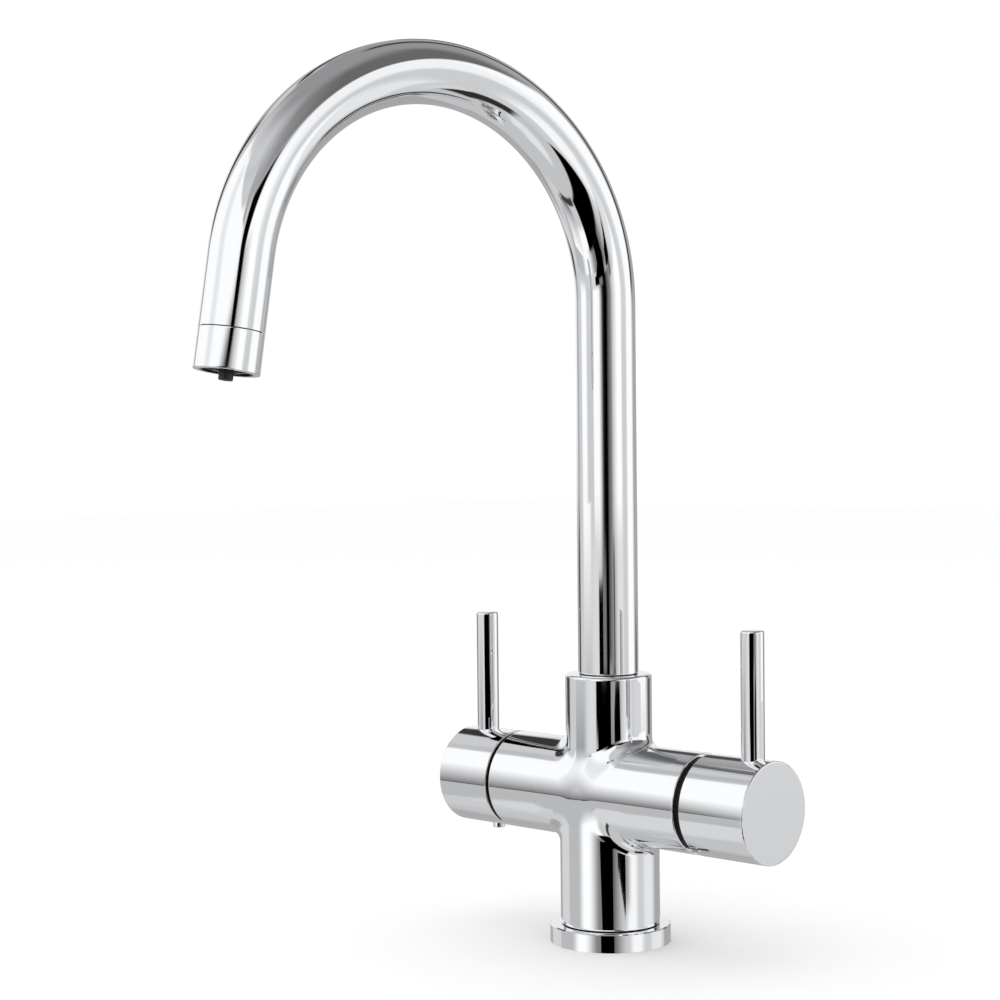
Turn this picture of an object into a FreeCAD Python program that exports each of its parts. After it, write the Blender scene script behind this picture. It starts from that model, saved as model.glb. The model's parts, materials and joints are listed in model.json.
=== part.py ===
import FreeCAD, Part
import math
import os
from types import SimpleNamespace

import Sketcher

# A swan-neck kitchen tap with two side levers, in millimetres and degrees. +Z is up and the underside of
# the base stands at zero, the handles lie along X and the spout points towards -Y. The sheet "Sizes" holds
# each value below, and every piece is bound to its cells.
SIZES = {
    # Clearances that neighbouring pieces share.
    "fit_gap": 0.05,  # on the radius, round a piece that is fixed in its seat
    "run_gap": 0.06,  # on the radius, round a shaft in its bearing
    "face_gap": 0.3,  # between a moving face and a still one
    "cut_over": 1.0,  # how far a cut runs past the face that it opens
    # Cross-shaped body.
    "barrel_height": 62.2,
    "barrel_radius": 20.45,
    "stub_reach": 50.5,
    "stub_round": 0.5,
    "column_step": 0.45,  # the column is wider than the barrel
    "column_round": 0.8,
    "foot_inset": 1.2,
    "foot_seam": 0.6,
    "taper_half": 15.0,
    "lower_blend": 4.0,
    "upper_blend": 3.0,
    "collar_step": 2.55,  # the collar is narrower than the barrel
    "collar_rise": 49.0,  # above the barrel's axis
    "collar_round": 1.2,
    # Waterways in the body.
    "inlet_radius": 4.45,
    "inlet_depth": 12.0,
    "inlet_circle": 7.5,
    "gallery_radius": 3.0,
    "riser_radius": 2.2,
    "chamber_rise": 9.0,
    # Base ring and the fixing under the worktop.
    "flange_overhang": 4.1,  # past the column
    "flange_height": 7.5,
    "flange_chamfer": 0.4,
    "base_seal_width": 3.0,
    "base_seal_height": 2.4,
    "hose_gap": 0.55,  # between the hose inlets and the shank's bore
    "shank_wall": 3.5,
    "shank_grip": 6.0,
    "shank_over": 7.0,  # past the back nut
    "shank_chamfer": 1.0,
    "worktop_thickness": 30.0,
    "washer_overhang": 8.0,  # past the shank
    "gasket_height": 3.0,
    "washer_height": 2.0,
    "nut_overhang": 7.7,  # from the shank to the corners
    "nut_height": 10.0,
    # Spout.
    "tube_radius": 12.5,
    "tube_wall": 1.5,
    "tube_seam": 0.3,
    "tube_round": 0.25,
    "bend_height": 264.3,
    "bend_radius": 87.0,
    "outlet_straight": 44.0,
    "tail_step": 1.0,  # the tail is narrower than the tube
    "tail_wall": 3.5,
    "tail_depth": 30.2,  # below the collar's top, as the next depths are
    "tail_ring_depth": 12.2,
    "stop_depth": 21.2,
    "tail_grip": 14.0,
    "tail_ring_thickness": 2.0,
    "tail_ring_pitch": 6.0,
    "washer_inset": 0.4,
    "stop_groove_depth": 1.5,
    "stop_screw_radius": 2.0,
    "stop_screw_inset": 0.75,  # below the collar's outside
    "stop_socket_radius": 1.15,
    "stop_socket_depth": 2.5,
    # Separate tube for filtered water, up the middle of the spout.
    "core_radius": 3.0,
    "core_wall": 1.0,
    "core_foot": 3.0,
    "core_ring_thickness": 1.5,
    # Outlet.
    "sleeve_length": 15.3,
    "sleeve_wall": 2.0,
    "sleeve_seam": 0.3,
    "sleeve_chamfer": 0.6,
    "sleeve_round": 0.4,
    "lip_width": 0.6,
    "lip_height": 1.2,
    "insert_wall": 1.3,
    "insert_height": 6.0,
    "mesh_lift": 2.2,
    "mesh_thickness": 1.5,
    "mesh_hole_radius": 0.5,
    "outlet_seal_height": 1.0,
    "adapter_wall": 1.2,
    "adapter_grip": 9.0,
    "nozzle_radius": 2.75,
    "nozzle_wall": 0.75,
    "nozzle_drop": 3.0,
    "nozzle_round": 0.4,
    "nozzle_grip": 6.0,
    # Valves in the ends of the barrel.
    "socket_wall": 6.45,
    "socket_depth": 30.5,
    "valve_wall": 3.6,
    "seat_seal_thickness": 2.0,
    "disc_thickness": 3.0,
    "disc_web": 0.25,  # left between the moving disc's slot and its key
    "port_rim": 0.7,  # from the outer ports to the disc's rim
    "port_web": 3.1,  # from the outer ports to the middle one
    "spindle_flange_inset": 2.4,
    "spindle_flange_thickness": 3.0,
    "tongue_width": 3.0,
    "tongue_inset": 3.4,
    "tongue_depth": 1.2,
    "neck_clearance": 1.0,
    "valve_nut_inset": 2.5,
    "valve_nut_length": 8.0,
    "valve_ring_thickness": 2.0,
    "valve_ring_lead": 4.5,
    "spindle_ring_thickness": 1.6,
    "spindle_ring_lead": 5.5,
    "glide_inset": 1.5,
    # Handles and levers.
    "left_gap": 1.8,
    "right_gap": 3.0,
    "left_handle_length": 27.7,
    "right_handle_length": 31.6,
    "handle_wall": 3.45,
    "handle_end_wall": 3.5,
    "handle_round": 0.6,
    "rim_round": 0.4,
    "hub_radius": 8.0,
    "hub_lead": 7.8,  # from the hub's inner face to the lever
    "lever_radius": 4.7,
    "lever_inset": 10.2,
    "lever_rise": 71.0,  # above the barrel's axis
    "lever_round": 0.8,
    "stud_radius": 2.5,
    # Safety button in the left handle.
    "button_radius": 2.65,
    "button_inset": 11.7,
    "button_proud": 2.1,
    "button_round": 0.5,
    "button_flange_step": 0.45,
    "button_flange_thickness": 0.8,
    "button_flange_depth": 0.8,
    "button_stem_radius": 1.0,
    "button_stem_inset": 0.6,
    "carrier_floor": 1.3,
    "spring_wire_radius": 0.25,
    "spring_inset": 0.9,
}
# How deep the button's well goes in the handle, and how the spindle and its tip follow the valve's neck.
SHARES = {
    "carrier_seat_share": 0.665,
    "spindle_share": 0.555,
    "tip_share": 0.8,
}
# The tilt of the right valve's two inlets is taken from the lowest point of their circle, either way.
ANGLES = {
    "bend_angle": 170.9,
    "spout_turn": -8.9,
    "port_tilt": 30.0,
}
SPRING_TURNS = 3
MESH_HOLES = (10, 14, 18)

doc = FreeCAD.newDocument("kitchen_tap")
sheet = doc.addObject("Spreadsheet::Sheet", "Sizes")
VALUES = {**SIZES, **SHARES, **ANGLES}
for row, (name, value) in enumerate(VALUES.items(), 1):
    sheet.set(f"A{row}", name)
    sheet.set(f"B{row}", str(value))
    sheet.setAlias(f"B{row}", name)
doc.recompute()
pieces = []


class Size:
    """A size as a number, and as the expression that works it out from the sheet."""

    def __init__(self, text, value):
        self.text = text
        self.value = value

    def join(self, sign, other, value):
        return Size(f"({self.text} {sign} {as_size(other).text})", value)

    def __add__(self, other):
        return self.join("+", other, self.value + as_size(other).value)

    def __sub__(self, other):
        return self.join("-", other, self.value - as_size(other).value)

    def __mul__(self, other):
        return self.join("*", other, self.value * as_size(other).value)

    def __truediv__(self, other):
        return self.join("/", other, self.value / as_size(other).value)

    def __neg__(self):
        return ZERO - self


def as_size(thing):
    return thing if isinstance(thing, Size) else Size(repr(thing), thing)


def cosine(angle):
    return Size(f"cos({angle.text} * 1 deg)", math.cos(math.radians(angle.value)))


def sine(angle):
    return Size(f"sin({angle.text} * 1 deg)", math.sin(math.radians(angle.value)))


ZERO = Size("0", 0.0)
HALF_TURN = Size("180", 180.0)
size = SimpleNamespace(**{name: Size(f"Sizes.{name}", value) for name, value in VALUES.items()})

# Sizes and places that follow from the ones in the sheet.
size.column_radius = size.barrel_radius + size.column_step
size.foot_radius = size.column_radius - size.foot_inset
size.flange_radius = size.column_radius + size.flange_overhang
size.collar_radius = size.barrel_radius - size.collar_step
size.collar_top = size.barrel_height + size.collar_rise
size.shank_bore = size.inlet_circle + size.inlet_radius + size.hose_gap
size.shank_radius = size.shank_bore + size.shank_wall
size.shank_top = size.flange_height + size.shank_grip
size.tail_radius = size.tube_radius - size.tail_step
size.tail_bore = size.tail_radius - size.tail_wall
size.stop_height = size.collar_top - size.stop_depth
size.spout_bore = size.tail_radius + size.run_gap
size.tube_bore = size.tube_radius - size.tube_wall
size.tube_foot = size.collar_top + size.tube_seam
size.chamber_floor = size.barrel_height + size.chamber_rise
size.core_seat = size.core_radius + size.run_gap
size.core_ring_seat = size.core_seat + size.core_ring_thickness
size.riser_offset = (size.core_ring_seat + size.spout_bore) / 2
size.insert_radius = size.tube_radius - size.sleeve_wall
size.insert_top = size.lip_height + size.insert_height
size.adapter_foot = size.insert_top + size.outlet_seal_height
size.socket_radius = size.barrel_radius - size.socket_wall
size.socket_floor = size.stub_reach - size.socket_depth
size.disc_radius = size.socket_radius - size.valve_wall
size.disc_front = size.socket_floor + size.seat_seal_thickness + size.disc_thickness + size.fit_gap
size.disc_back = size.disc_front + size.disc_thickness + size.fit_gap
size.port_radius = (size.disc_radius - size.port_rim - size.port_web) / 3
size.port_circle = size.port_radius * 2 + size.port_web
size.valve_nut_end = size.stub_reach - size.valve_nut_inset
size.valve_nut_start = size.valve_nut_end - size.valve_nut_length
size.handle_cavity = size.barrel_radius - size.handle_wall
size.carrier_seat = size.handle_cavity * size.carrier_seat_share
size.carrier_bore = size.carrier_seat - size.carrier_floor
size.neck_radius = size.carrier_bore - size.neck_clearance
size.spindle_radius = size.neck_radius * size.spindle_share
size.tip_radius = size.spindle_radius * size.tip_share
size.button_flange_radius = size.button_radius + size.button_flange_step
size.spring_radius = size.button_flange_radius - size.spring_inset


def start_body(label, x=ZERO, z=ZERO):
    """A new body that stands at x and z and is handed in under its label."""
    body = doc.addObject("PartDesign::Body", label)
    body.setExpression("Placement.Base.x", x.text)
    body.setExpression("Placement.Base.z", z.text)
    pieces.append(body)
    return body


def start_sketch(body, plane, lift=ZERO):
    """A sketch on one of the body's own planes, lifted along its normal."""
    sketch = body.newObject("Sketcher::SketchObject", f"{body.Name}_sketch")
    sketch.AttachmentSupport = [(next(f for f in body.Origin.OriginFeatures if f.Role == plane), "")]
    sketch.MapMode = "FlatFace"
    sketch.setExpression("AttachmentOffset.Base.z", lift.text)
    return sketch


def hold(sketch, kind, geometry, end, place):
    """Bind one coordinate of a point to an expression."""
    index = sketch.addConstraint(Sketcher.Constraint(kind, -1, 1, geometry, end, place.value))
    sketch.setExpression(f"Constraints[{index}]", place.text)


def hold_point(sketch, geometry, end, x, y):
    hold(sketch, "DistanceX", geometry, end, x)
    hold(sketch, "DistanceY", geometry, end, y)


def arc_between(start, end, level):
    """The short arc between two points whose centre lies at a level."""
    reach = (end.x**2 + (end.y - level) ** 2 - start.x**2 - (start.y - level) ** 2) / (2 * (end.x - start.x))
    turns = [math.atan2(point.y - level, point.x - reach) for point in (start, end)]
    if (turns[1] - turns[0]) % (2 * math.pi) > math.pi:
        turns.reverse()
    span = (turns[1] - turns[0]) % (2 * math.pi)
    centre = FreeCAD.Vector(reach, level, 0)
    whole = Part.Circle(centre, FreeCAD.Vector(0, 0, 1), (start - centre).Length)
    return Part.ArcOfCircle(whole, turns[0], turns[0] + span)


def polygon(sketch, points):
    """Close a chain of points by straight sides, or by an arc from a point with its centre's level."""
    spots = [FreeCAD.Vector(point[0].value, point[1].value, 0) for point in points]
    sides = []
    for (x, y, *level), spot, after in zip(points, spots, spots[1:] + spots[:1]):
        curve = arc_between(spot, after, level[0].value) if level else Part.LineSegment(spot, after)
        side = sketch.addGeometry(curve, False)
        first = 1 if sketch.getPoint(side, 1).isEqual(spot, 1e-6) else 2
        sides.append((side, first, 3 - first))
        hold_point(sketch, side, first, x, y)
        if level:
            hold(sketch, "DistanceY", side, 3, level[0])
    for (side, _, last), (after, first, _) in zip(sides, sides[1:] + sides[:1]):
        sketch.addConstraint(Sketcher.Constraint("Coincident", side, last, after, first))


def circle(sketch, x, y, radius):
    centre = FreeCAD.Vector(x.value, y.value, 0)
    ring = sketch.addGeometry(Part.Circle(centre, FreeCAD.Vector(0, 0, 1), radius.value), False)
    hold_point(sketch, ring, 3, x, y)
    index = sketch.addConstraint(Sketcher.Constraint("Radius", ring, radius.value))
    sketch.setExpression(f"Constraints[{index}]", radius.text)


def rectangle(sketch, x, y):
    """A rectangle between two values of x and two of y."""
    polygon(sketch, [(x[0], y[0]), (x[1], y[0]), (x[1], y[1]), (x[0], y[1])])


def hexagon(sketch, radius):
    turns = [math.radians(60 * k) for k in range(6)]
    polygon(sketch, [(radius * math.cos(a), radius * math.sin(a)) for a in turns])


def feature(body, kind, sketch):
    made = body.newObject(f"PartDesign::{kind}", f"{body.Name}_{kind.lower()}")
    made.Profile = sketch
    return made


def revolve(body, points, axis="V_Axis", kind="Revolution"):
    """Turn a profile in the XZ plane round the upright axis, or round the level one."""
    sketch = start_sketch(body, "XZ_Plane")
    polygon(sketch, points)
    made = feature(body, kind, sketch)
    made.ReferenceAxis = (sketch, [axis])
    made.Angle = 360
    doc.recompute()
    return made


def pad(body, sketch, length, reverse=False, midplane=False):
    made = feature(body, "Pad", sketch)
    made.setExpression("Length", length.text)
    made.Reversed = reverse
    made.Midplane = midplane
    doc.recompute()
    return made


def cut(body, sketch, depth, reverse=False):
    """Cut a sketch's outline against its normal, or along it when reversed."""
    before = body.Shape.Volume
    made = feature(body, "Pocket", sketch)
    made.setExpression("Length", depth.text)
    made.Reversed = reverse
    doc.recompute()
    if not body.Shape.Volume < before:
        raise RuntimeError(f"{body.Label}: {made.Name} takes nothing away")
    return made


def drill(body, plane, lift, holes, depth, reverse=False):
    """Cut round holes, each given as x, y and radius in a plane that is lifted along its normal."""
    sketch = start_sketch(body, plane, lift)
    for x, y, radius in holes:
        circle(sketch, x, y, radius)
    return cut(body, sketch, depth, reverse)


def edges_where(body, wanted):
    return [f"Edge{k}" for k, edge in enumerate(body.Tip.Shape.Edges, 1) if wanted(edge)]


def ring_edges(body, radius, axis, place):
    """The circular edges of a radius that lie at a place along an axis of the body."""

    def wanted(edge):
        curve = edge.Curve
        return (
            isinstance(curve, Part.Circle)
            and math.isclose(curve.Radius, radius.value, abs_tol=1e-4)
            and math.isclose(getattr(curve.Center, axis), place.value, abs_tol=1e-4)
        )

    return edges_where(body, wanted)


def soften(body, edges, amount, kind="Fillet"):
    """Round or chamfer the named edges of the body as it stands."""
    base = body.Tip
    made = body.newObject(f"PartDesign::{kind}", f"{body.Name}_{kind.lower()}")
    made.Base = (base, edges)
    made.setExpression("Radius" if kind == "Fillet" else "Size", amount.text)
    doc.recompute()
    return made


def place_by(piece, *steps):
    """Bind a placement to a chain of moves, each a point and a turn of an angle about an axis."""
    chain = []
    for (x, y, z), axis, angle in steps:
        point = f"vector({x.text}; {y.text}; {z.text})"
        chain.append(f"placement({point}; rotation(vector{axis}; {angle.text}))")
    piece.setExpression("Placement", " * ".join(chain))


def torus(label, outer, thickness, steps, handed_in=True):
    """A rubber ring of an outside radius and a thickness."""
    ring = doc.addObject("Part::Torus", label)
    ring.setExpression("Radius1", (outer - thickness / 2).text)
    ring.setExpression("Radius2", (thickness / 2).text)
    place_by(ring, *steps)
    if handed_in:
        pieces.append(ring)
    return ring


def ring_groove(outer, thickness):
    """The floor radius of a groove that holds a ring of an outside radius, and half the groove's width."""
    return outer - thickness - size.fit_gap, thickness / 2 + size.fit_gap


UPRIGHT = "(0; 0; 1)"
CROSSWISE = "(1; 0; 0)"
ORIGIN = (ZERO, ZERO, ZERO)
TURNED = (ORIGIN, UPRIGHT, size.spout_turn)


def side(name, sign, gap, length, inlets):
    """The places along the barrel of one handle and its valve, and its inlet ports across the barrel."""
    rim = size.stub_reach + gap
    end = rim + length
    lever = end - size.lever_inset
    return SimpleNamespace(
        name=name, sign=sign, outward=sign > 0, rim=rim, end=end, lever=lever, inlets=inlets,
        hub=lever - size.hub_lead, tip_end=lever + size.stud_radius + size.cut_over,
    )


PORT_Y = size.port_circle * sine(size.port_tilt)
PORT_Z = -(size.port_circle * cosine(size.port_tilt))
LEFT = side("left", -1, size.left_gap, size.left_handle_length, [(ZERO, -size.port_circle)])
RIGHT = side("right", 1, size.right_gap, size.right_handle_length, [(-PORT_Y, PORT_Z), (PORT_Y, PORT_Z)])
SIDES = (LEFT, RIGHT)
INLET_TURNS = (math.pi, math.pi / 3, -math.pi / 3)
INLETS = [(size.inlet_circle * math.cos(a), size.inlet_circle * math.sin(a)) for a in INLET_TURNS]


def body_casting():
    """Column, barrel and collar in one casting, with its sockets and waterways."""
    body = start_body("body_casting")
    foot = size.flange_height + size.foot_seam
    low = size.barrel_height - size.taper_half
    high = size.barrel_height + size.taper_half
    middle = (size.column_radius + size.collar_radius) / 2
    revolve(body, [
        (ZERO, size.flange_height), (size.foot_radius, size.flange_height), (size.foot_radius, foot),
        (size.column_radius, foot), (size.column_radius, low, low), (middle, size.barrel_height, high),
        (size.collar_radius, high), (size.collar_radius, size.collar_top), (ZERO, size.collar_top),
    ])
    barrel = start_sketch(body, "YZ_Plane")
    circle(barrel, ZERO, size.barrel_height, size.barrel_radius)
    pad(body, barrel, size.stub_reach * 2, midplane=True)
    blend_barrel(body)
    soften(body, ring_edges(body, size.column_radius, "z", foot), size.column_round)
    soften(body, ring_edges(body, size.collar_radius, "z", size.collar_top), size.collar_round)
    ends = [ring_edges(body, size.barrel_radius, "x", size.stub_reach * s.sign) for s in SIDES]
    soften(body, sum(ends, []), size.stub_round)
    cut_spout_socket(body)
    for s in SIDES:
        cut_valve_socket(body, s)
    cut_inlets(body)


def blend_barrel(body):
    """Round the two saddle-shaped seams where the barrel crosses the column and the collar."""

    def seam(edge):
        return not isinstance(edge.Curve, (Part.Line, Part.Circle))

    def below(edge):
        return seam(edge) and edge.CenterOfMass.z < size.barrel_height.value

    def above(edge):
        return seam(edge) and edge.CenterOfMass.z > size.barrel_height.value + size.barrel_radius.value / 2

    soften(body, edges_where(body, below), size.lower_blend)
    soften(body, edges_where(body, above), size.upper_blend)


def cut_spout_socket(body):
    """The bore for the spout's tail, the seat for the filtered-water tube and the hole for the stop screw."""
    top = size.collar_top + size.cut_over
    floor = size.chamber_floor
    bore = size.spout_bore
    revolve(body, [(ZERO, floor), (bore, floor), (bore, top), (ZERO, top)], kind="Groove")
    shelf = floor - size.core_ring_thickness - size.fit_gap
    revolve(body, [
        (ZERO, size.barrel_height), (size.core_seat, size.barrel_height), (size.core_seat, shelf),
        (size.core_ring_seat, shelf), (size.core_ring_seat, floor), (ZERO, floor),
    ], kind="Groove")
    outside = size.collar_radius + size.cut_over
    hole = (ZERO, size.stop_height, size.stop_screw_radius + size.fit_gap)
    drill(body, "XZ_Plane", -outside, [hole], outside - size.tail_radius + size.cut_over, reverse=True)


def cut_valve_socket(body, s):
    """One valve's socket in the barrel, and the passages that leave its floor."""
    mouth = size.stub_reach * s.sign
    socket = (ZERO, size.barrel_height, size.socket_radius)
    drill(body, "YZ_Plane", mouth, [socket], size.stub_reach - size.socket_floor, reverse=not s.outward)
    floor = size.socket_floor * s.sign
    ports = [(y, size.barrel_height + z, size.port_radius) for y, z in s.inlets]
    depth = size.socket_floor - size.inlet_circle / 2
    drill(body, "YZ_Plane", floor, ports, depth, reverse=not s.outward)
    outlet = (ZERO, size.barrel_height, size.riser_radius)
    reach = size.socket_floor - size.riser_offset if s.outward else size.socket_floor
    drill(body, "YZ_Plane", floor, [outlet], reach, reverse=not s.outward)


def cut_inlets(body):
    """The shank's socket, the threaded inlets, their passages up to the valves and the mixed-water riser."""
    socket = (ZERO, ZERO, size.shank_radius + size.fit_gap)
    depth = size.shank_grip + size.fit_gap
    drill(body, "XY_Plane", size.flange_height, [socket], depth, reverse=True)
    inlets = [(x, y, size.inlet_radius) for x, y in INLETS]
    drill(body, "XY_Plane", size.shank_top, inlets, size.inlet_depth, reverse=True)
    passages = [(x, y, size.gallery_radius) for x, y in INLETS]
    rise = size.barrel_height - size.port_circle - size.shank_top + size.gallery_radius
    drill(body, "XY_Plane", size.shank_top, passages, rise, reverse=True)
    riser = (size.riser_offset, ZERO, size.riser_radius)
    drill(body, "XY_Plane", size.barrel_height, [riser], size.chamber_rise, reverse=True)


def base_fixing():
    """The base ring and its seal, and what clamps the tap under the worktop."""
    bore = size.shank_radius + size.face_gap
    seal_in = (bore + size.flange_radius - size.base_seal_width) / 2
    seal_out = seal_in + size.base_seal_width
    top = size.flange_height
    gap = size.fit_gap
    roof = size.base_seal_height + gap
    flange = start_body("base_flange")
    revolve(flange, [
        (bore, ZERO), (seal_in - gap, ZERO), (seal_in - gap, roof), (seal_out + gap, roof),
        (seal_out + gap, ZERO), (size.flange_radius, ZERO), (size.flange_radius, top), (bore, top),
    ])
    soften(flange, ring_edges(flange, size.flange_radius, "z", top), size.flange_chamfer, "Chamfer")
    ring("base_seal", seal_in, seal_out, ZERO, size.base_seal_height)
    under = -size.worktop_thickness
    washer_top = under - size.gasket_height
    nut_top = washer_top - size.washer_height
    washer_radius = size.shank_radius + size.washer_overhang
    ring("deck_gasket", bore, washer_radius, washer_top, under)
    ring("deck_washer", bore, washer_radius, nut_top, washer_top)
    nut = start_body("back_nut", z=nut_top)
    sketch = start_sketch(nut, "XY_Plane")
    hexagon(sketch, size.shank_radius + size.nut_overhang)
    circle(sketch, ZERO, ZERO, size.shank_radius + gap)
    pad(nut, sketch, size.nut_height, reverse=True)
    foot = nut_top - size.nut_height - size.shank_over
    shank = ring("mounting_shank", size.shank_bore, size.shank_radius, foot, size.shank_top)
    soften(shank, ring_edges(shank, size.shank_radius, "z", foot), size.shank_chamfer, "Chamfer")


def ring(label, inner, outer, bottom, top):
    """A plain ring about the upright axis."""
    body = start_body(label)
    revolve(body, [(inner, bottom), (outer, bottom), (outer, top), (inner, top)])
    return body


def spout_path(body, foot, straight):
    """The spout's centre line from a height: up, over the bend, then straight down the outlet."""
    path = start_sketch(body, "YZ_Plane")
    span = size.bend_radius
    top = size.bend_height
    bend_end_y = span * (cosine(size.bend_angle) - 1)
    bend_end_z = top + span * sine(size.bend_angle)
    end_y = bend_end_y - straight * sine(size.bend_angle)
    end_z = bend_end_z + straight * cosine(size.bend_angle)
    at = [FreeCAD.Vector(y.value, z.value, 0) for y, z in
          ((ZERO, foot), (ZERO, top), (bend_end_y, bend_end_z), (end_y, end_z))]
    hub = Part.Circle(FreeCAD.Vector(-span.value, top.value, 0), FreeCAD.Vector(0, 0, 1), span.value)
    riser = path.addGeometry(Part.LineSegment(at[0], at[1]), False)
    bend = path.addGeometry(Part.ArcOfCircle(hub, 0, math.radians(size.bend_angle.value)), False)
    fall = path.addGeometry(Part.LineSegment(at[2], at[3]), False)
    path.addConstraint(Sketcher.Constraint("Coincident", riser, 2, bend, 1))
    path.addConstraint(Sketcher.Constraint("Coincident", bend, 2, fall, 1))
    hold_point(path, riser, 1, ZERO, foot)
    hold_point(path, riser, 2, ZERO, top)
    hold_point(path, bend, 3, -span, top)
    hold(path, "DistanceY", bend, 2, bend_end_z)
    hold_point(path, fall, 2, end_y, end_z)
    return path


def bent_tube(label, outer, inner, foot, straight):
    body = start_body(label)
    profile = start_sketch(body, "XY_Plane", foot)
    circle(profile, ZERO, ZERO, outer)
    circle(profile, ZERO, ZERO, inner)
    pipe = feature(body, "AdditivePipe", profile)
    pipe.Spine = spout_path(body, foot, straight)
    doc.recompute()
    place_by(body, TURNED)
    return body


def spout():
    """The swan-neck tube, the tail that turns in the collar and the tube inside for filtered water."""
    straight = size.outlet_straight - size.sleeve_length - size.sleeve_seam
    tube = bent_tube("spout_tube", size.tube_radius, size.tube_bore, size.tube_foot, straight)
    soften(tube, ring_edges(tube, size.tube_radius, "z", size.tube_foot), size.tube_round)
    core_end = size.outlet_straight - size.adapter_foot
    bore = size.core_radius - size.core_wall
    bent_tube("filter_tube", size.core_radius, bore, size.barrel_height + size.core_foot, core_end)
    spout_tail()
    inner = size.tail_radius + size.fit_gap
    outer = size.tube_radius - size.washer_inset
    ring("spout_washer", inner, outer, size.collar_top + size.run_gap, size.tube_foot)
    stop_screw()
    thickness = size.core_ring_thickness
    lift = (ZERO, ZERO, size.chamber_floor - thickness / 2)
    torus("tube_seat_ring", size.core_ring_seat, thickness - size.fit_gap, [(lift, UPRIGHT, ZERO)])


def spout_tail():
    """The brass tail with its grooves for two rubber rings and the stop screw, and the two rings."""
    floor, half = ring_groove(size.tail_radius, size.tail_ring_thickness)
    lower = size.collar_top - size.tail_ring_depth
    centres = [lower, lower + size.tail_ring_pitch]
    stop_floor = size.tail_radius - size.stop_groove_depth
    stop_half = size.stop_screw_radius + size.face_gap
    grooves = [(size.stop_height, stop_floor, stop_half)] + [(z, floor, half) for z in centres]
    outside = size.tail_radius
    bottom = size.collar_top - size.tail_depth
    profile = [(size.tail_bore, bottom), (outside, bottom)]
    for z, deep, wide in grooves:
        profile += [(outside, z - wide), (deep, z - wide), (deep, z + wide), (outside, z + wide)]
    spigot = size.tube_bore - size.fit_gap
    top = size.tube_foot + size.tail_grip
    profile += [(outside, size.tube_foot), (spigot, size.tube_foot), (spigot, top), (size.tail_bore, top)]
    tail = start_body("spout_tail")
    revolve(tail, profile)
    place_by(tail, TURNED)
    rings = doc.addObject("Part::Compound", "spout_rings")
    rings.Links = [
        torus("spout_ring", outside, size.tail_ring_thickness, [((ZERO, ZERO, z), UPRIGHT, ZERO)], False)
        for z in centres
    ]
    doc.recompute()
    pieces.append(rings)


def stop_screw():
    """The hexagon-socket screw at the back of the collar that keeps the spout from lifting out."""
    tip = size.tail_radius - size.stop_groove_depth + size.face_gap
    length = size.collar_radius - size.stop_screw_inset - tip
    radius = size.stop_screw_radius
    screw = start_body("spout_stop_screw")
    revolve(screw, [(ZERO, ZERO), (radius, ZERO), (radius, length), (ZERO, length)])
    sketch = start_sketch(screw, "XY_Plane", length)
    hexagon(sketch, size.stop_socket_radius)
    cut(screw, sketch, size.stop_socket_depth)
    place_by(screw, ((ZERO, tip, size.stop_height), CROSSWISE, -HALF_TURN / 2))


def outlet():
    """The pieces at the end of the spout, each built upwards from the rim and tilted with the tube's end."""
    fall = size.outlet_straight
    end_y = size.bend_radius * (cosine(size.bend_angle) - 1) - fall * sine(size.bend_angle)
    end_z = size.bend_height + size.bend_radius * sine(size.bend_angle) + fall * cosine(size.bend_angle)
    tilt = ((ZERO, end_y, end_z), CROSSWISE, size.bend_angle - HALF_TURN)
    for make in (aerator_sleeve, outlet_adapter, aerator_housing, aerator_mesh, aerator_seal, outlet_nozzle):
        place_by(make(), TURNED, tilt)


def aerator_sleeve():
    bore = size.insert_radius + size.fit_gap
    lip = size.insert_radius - size.lip_width
    outside = size.tube_radius
    top = size.sleeve_length
    sleeve = start_body("aerator_sleeve")
    revolve(sleeve, [
        (lip, ZERO), (outside, ZERO), (outside, top), (bore, top), (bore, size.lip_height),
        (lip, size.lip_height),
    ])
    soften(sleeve, ring_edges(sleeve, outside, "z", top), size.sleeve_chamfer, "Chamfer")
    soften(sleeve, ring_edges(sleeve, outside, "z", ZERO), size.sleeve_round)
    return sleeve


def outlet_adapter():
    """The nipple that is soldered in the tube and takes the sleeve's thread."""
    bottom = size.adapter_foot
    step = size.sleeve_length + size.sleeve_seam
    spigot = size.tube_bore - size.fit_gap
    bore = size.insert_radius - size.adapter_wall
    return profile_ring("outlet_adapter", [
        (bore, bottom), (size.insert_radius, bottom), (size.insert_radius, step), (spigot, step),
        (spigot, step + size.adapter_grip), (bore, step + size.adapter_grip),
    ])


def profile_ring(label, points):
    body = start_body(label)
    revolve(body, points)
    return body


def aerator_housing():
    """The insert's shell, with a ledge inside that carries the mesh."""
    bottom = size.lip_height
    top = size.insert_top
    outer = size.insert_radius
    inner = outer - size.insert_wall
    throat = inner - size.insert_wall
    ledge = size.mesh_lift + size.mesh_thickness + size.fit_gap
    return profile_ring("aerator_housing", [
        (inner, bottom), (outer, bottom), (outer, top), (throat, top), (throat, ledge), (inner, ledge),
    ])


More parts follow.
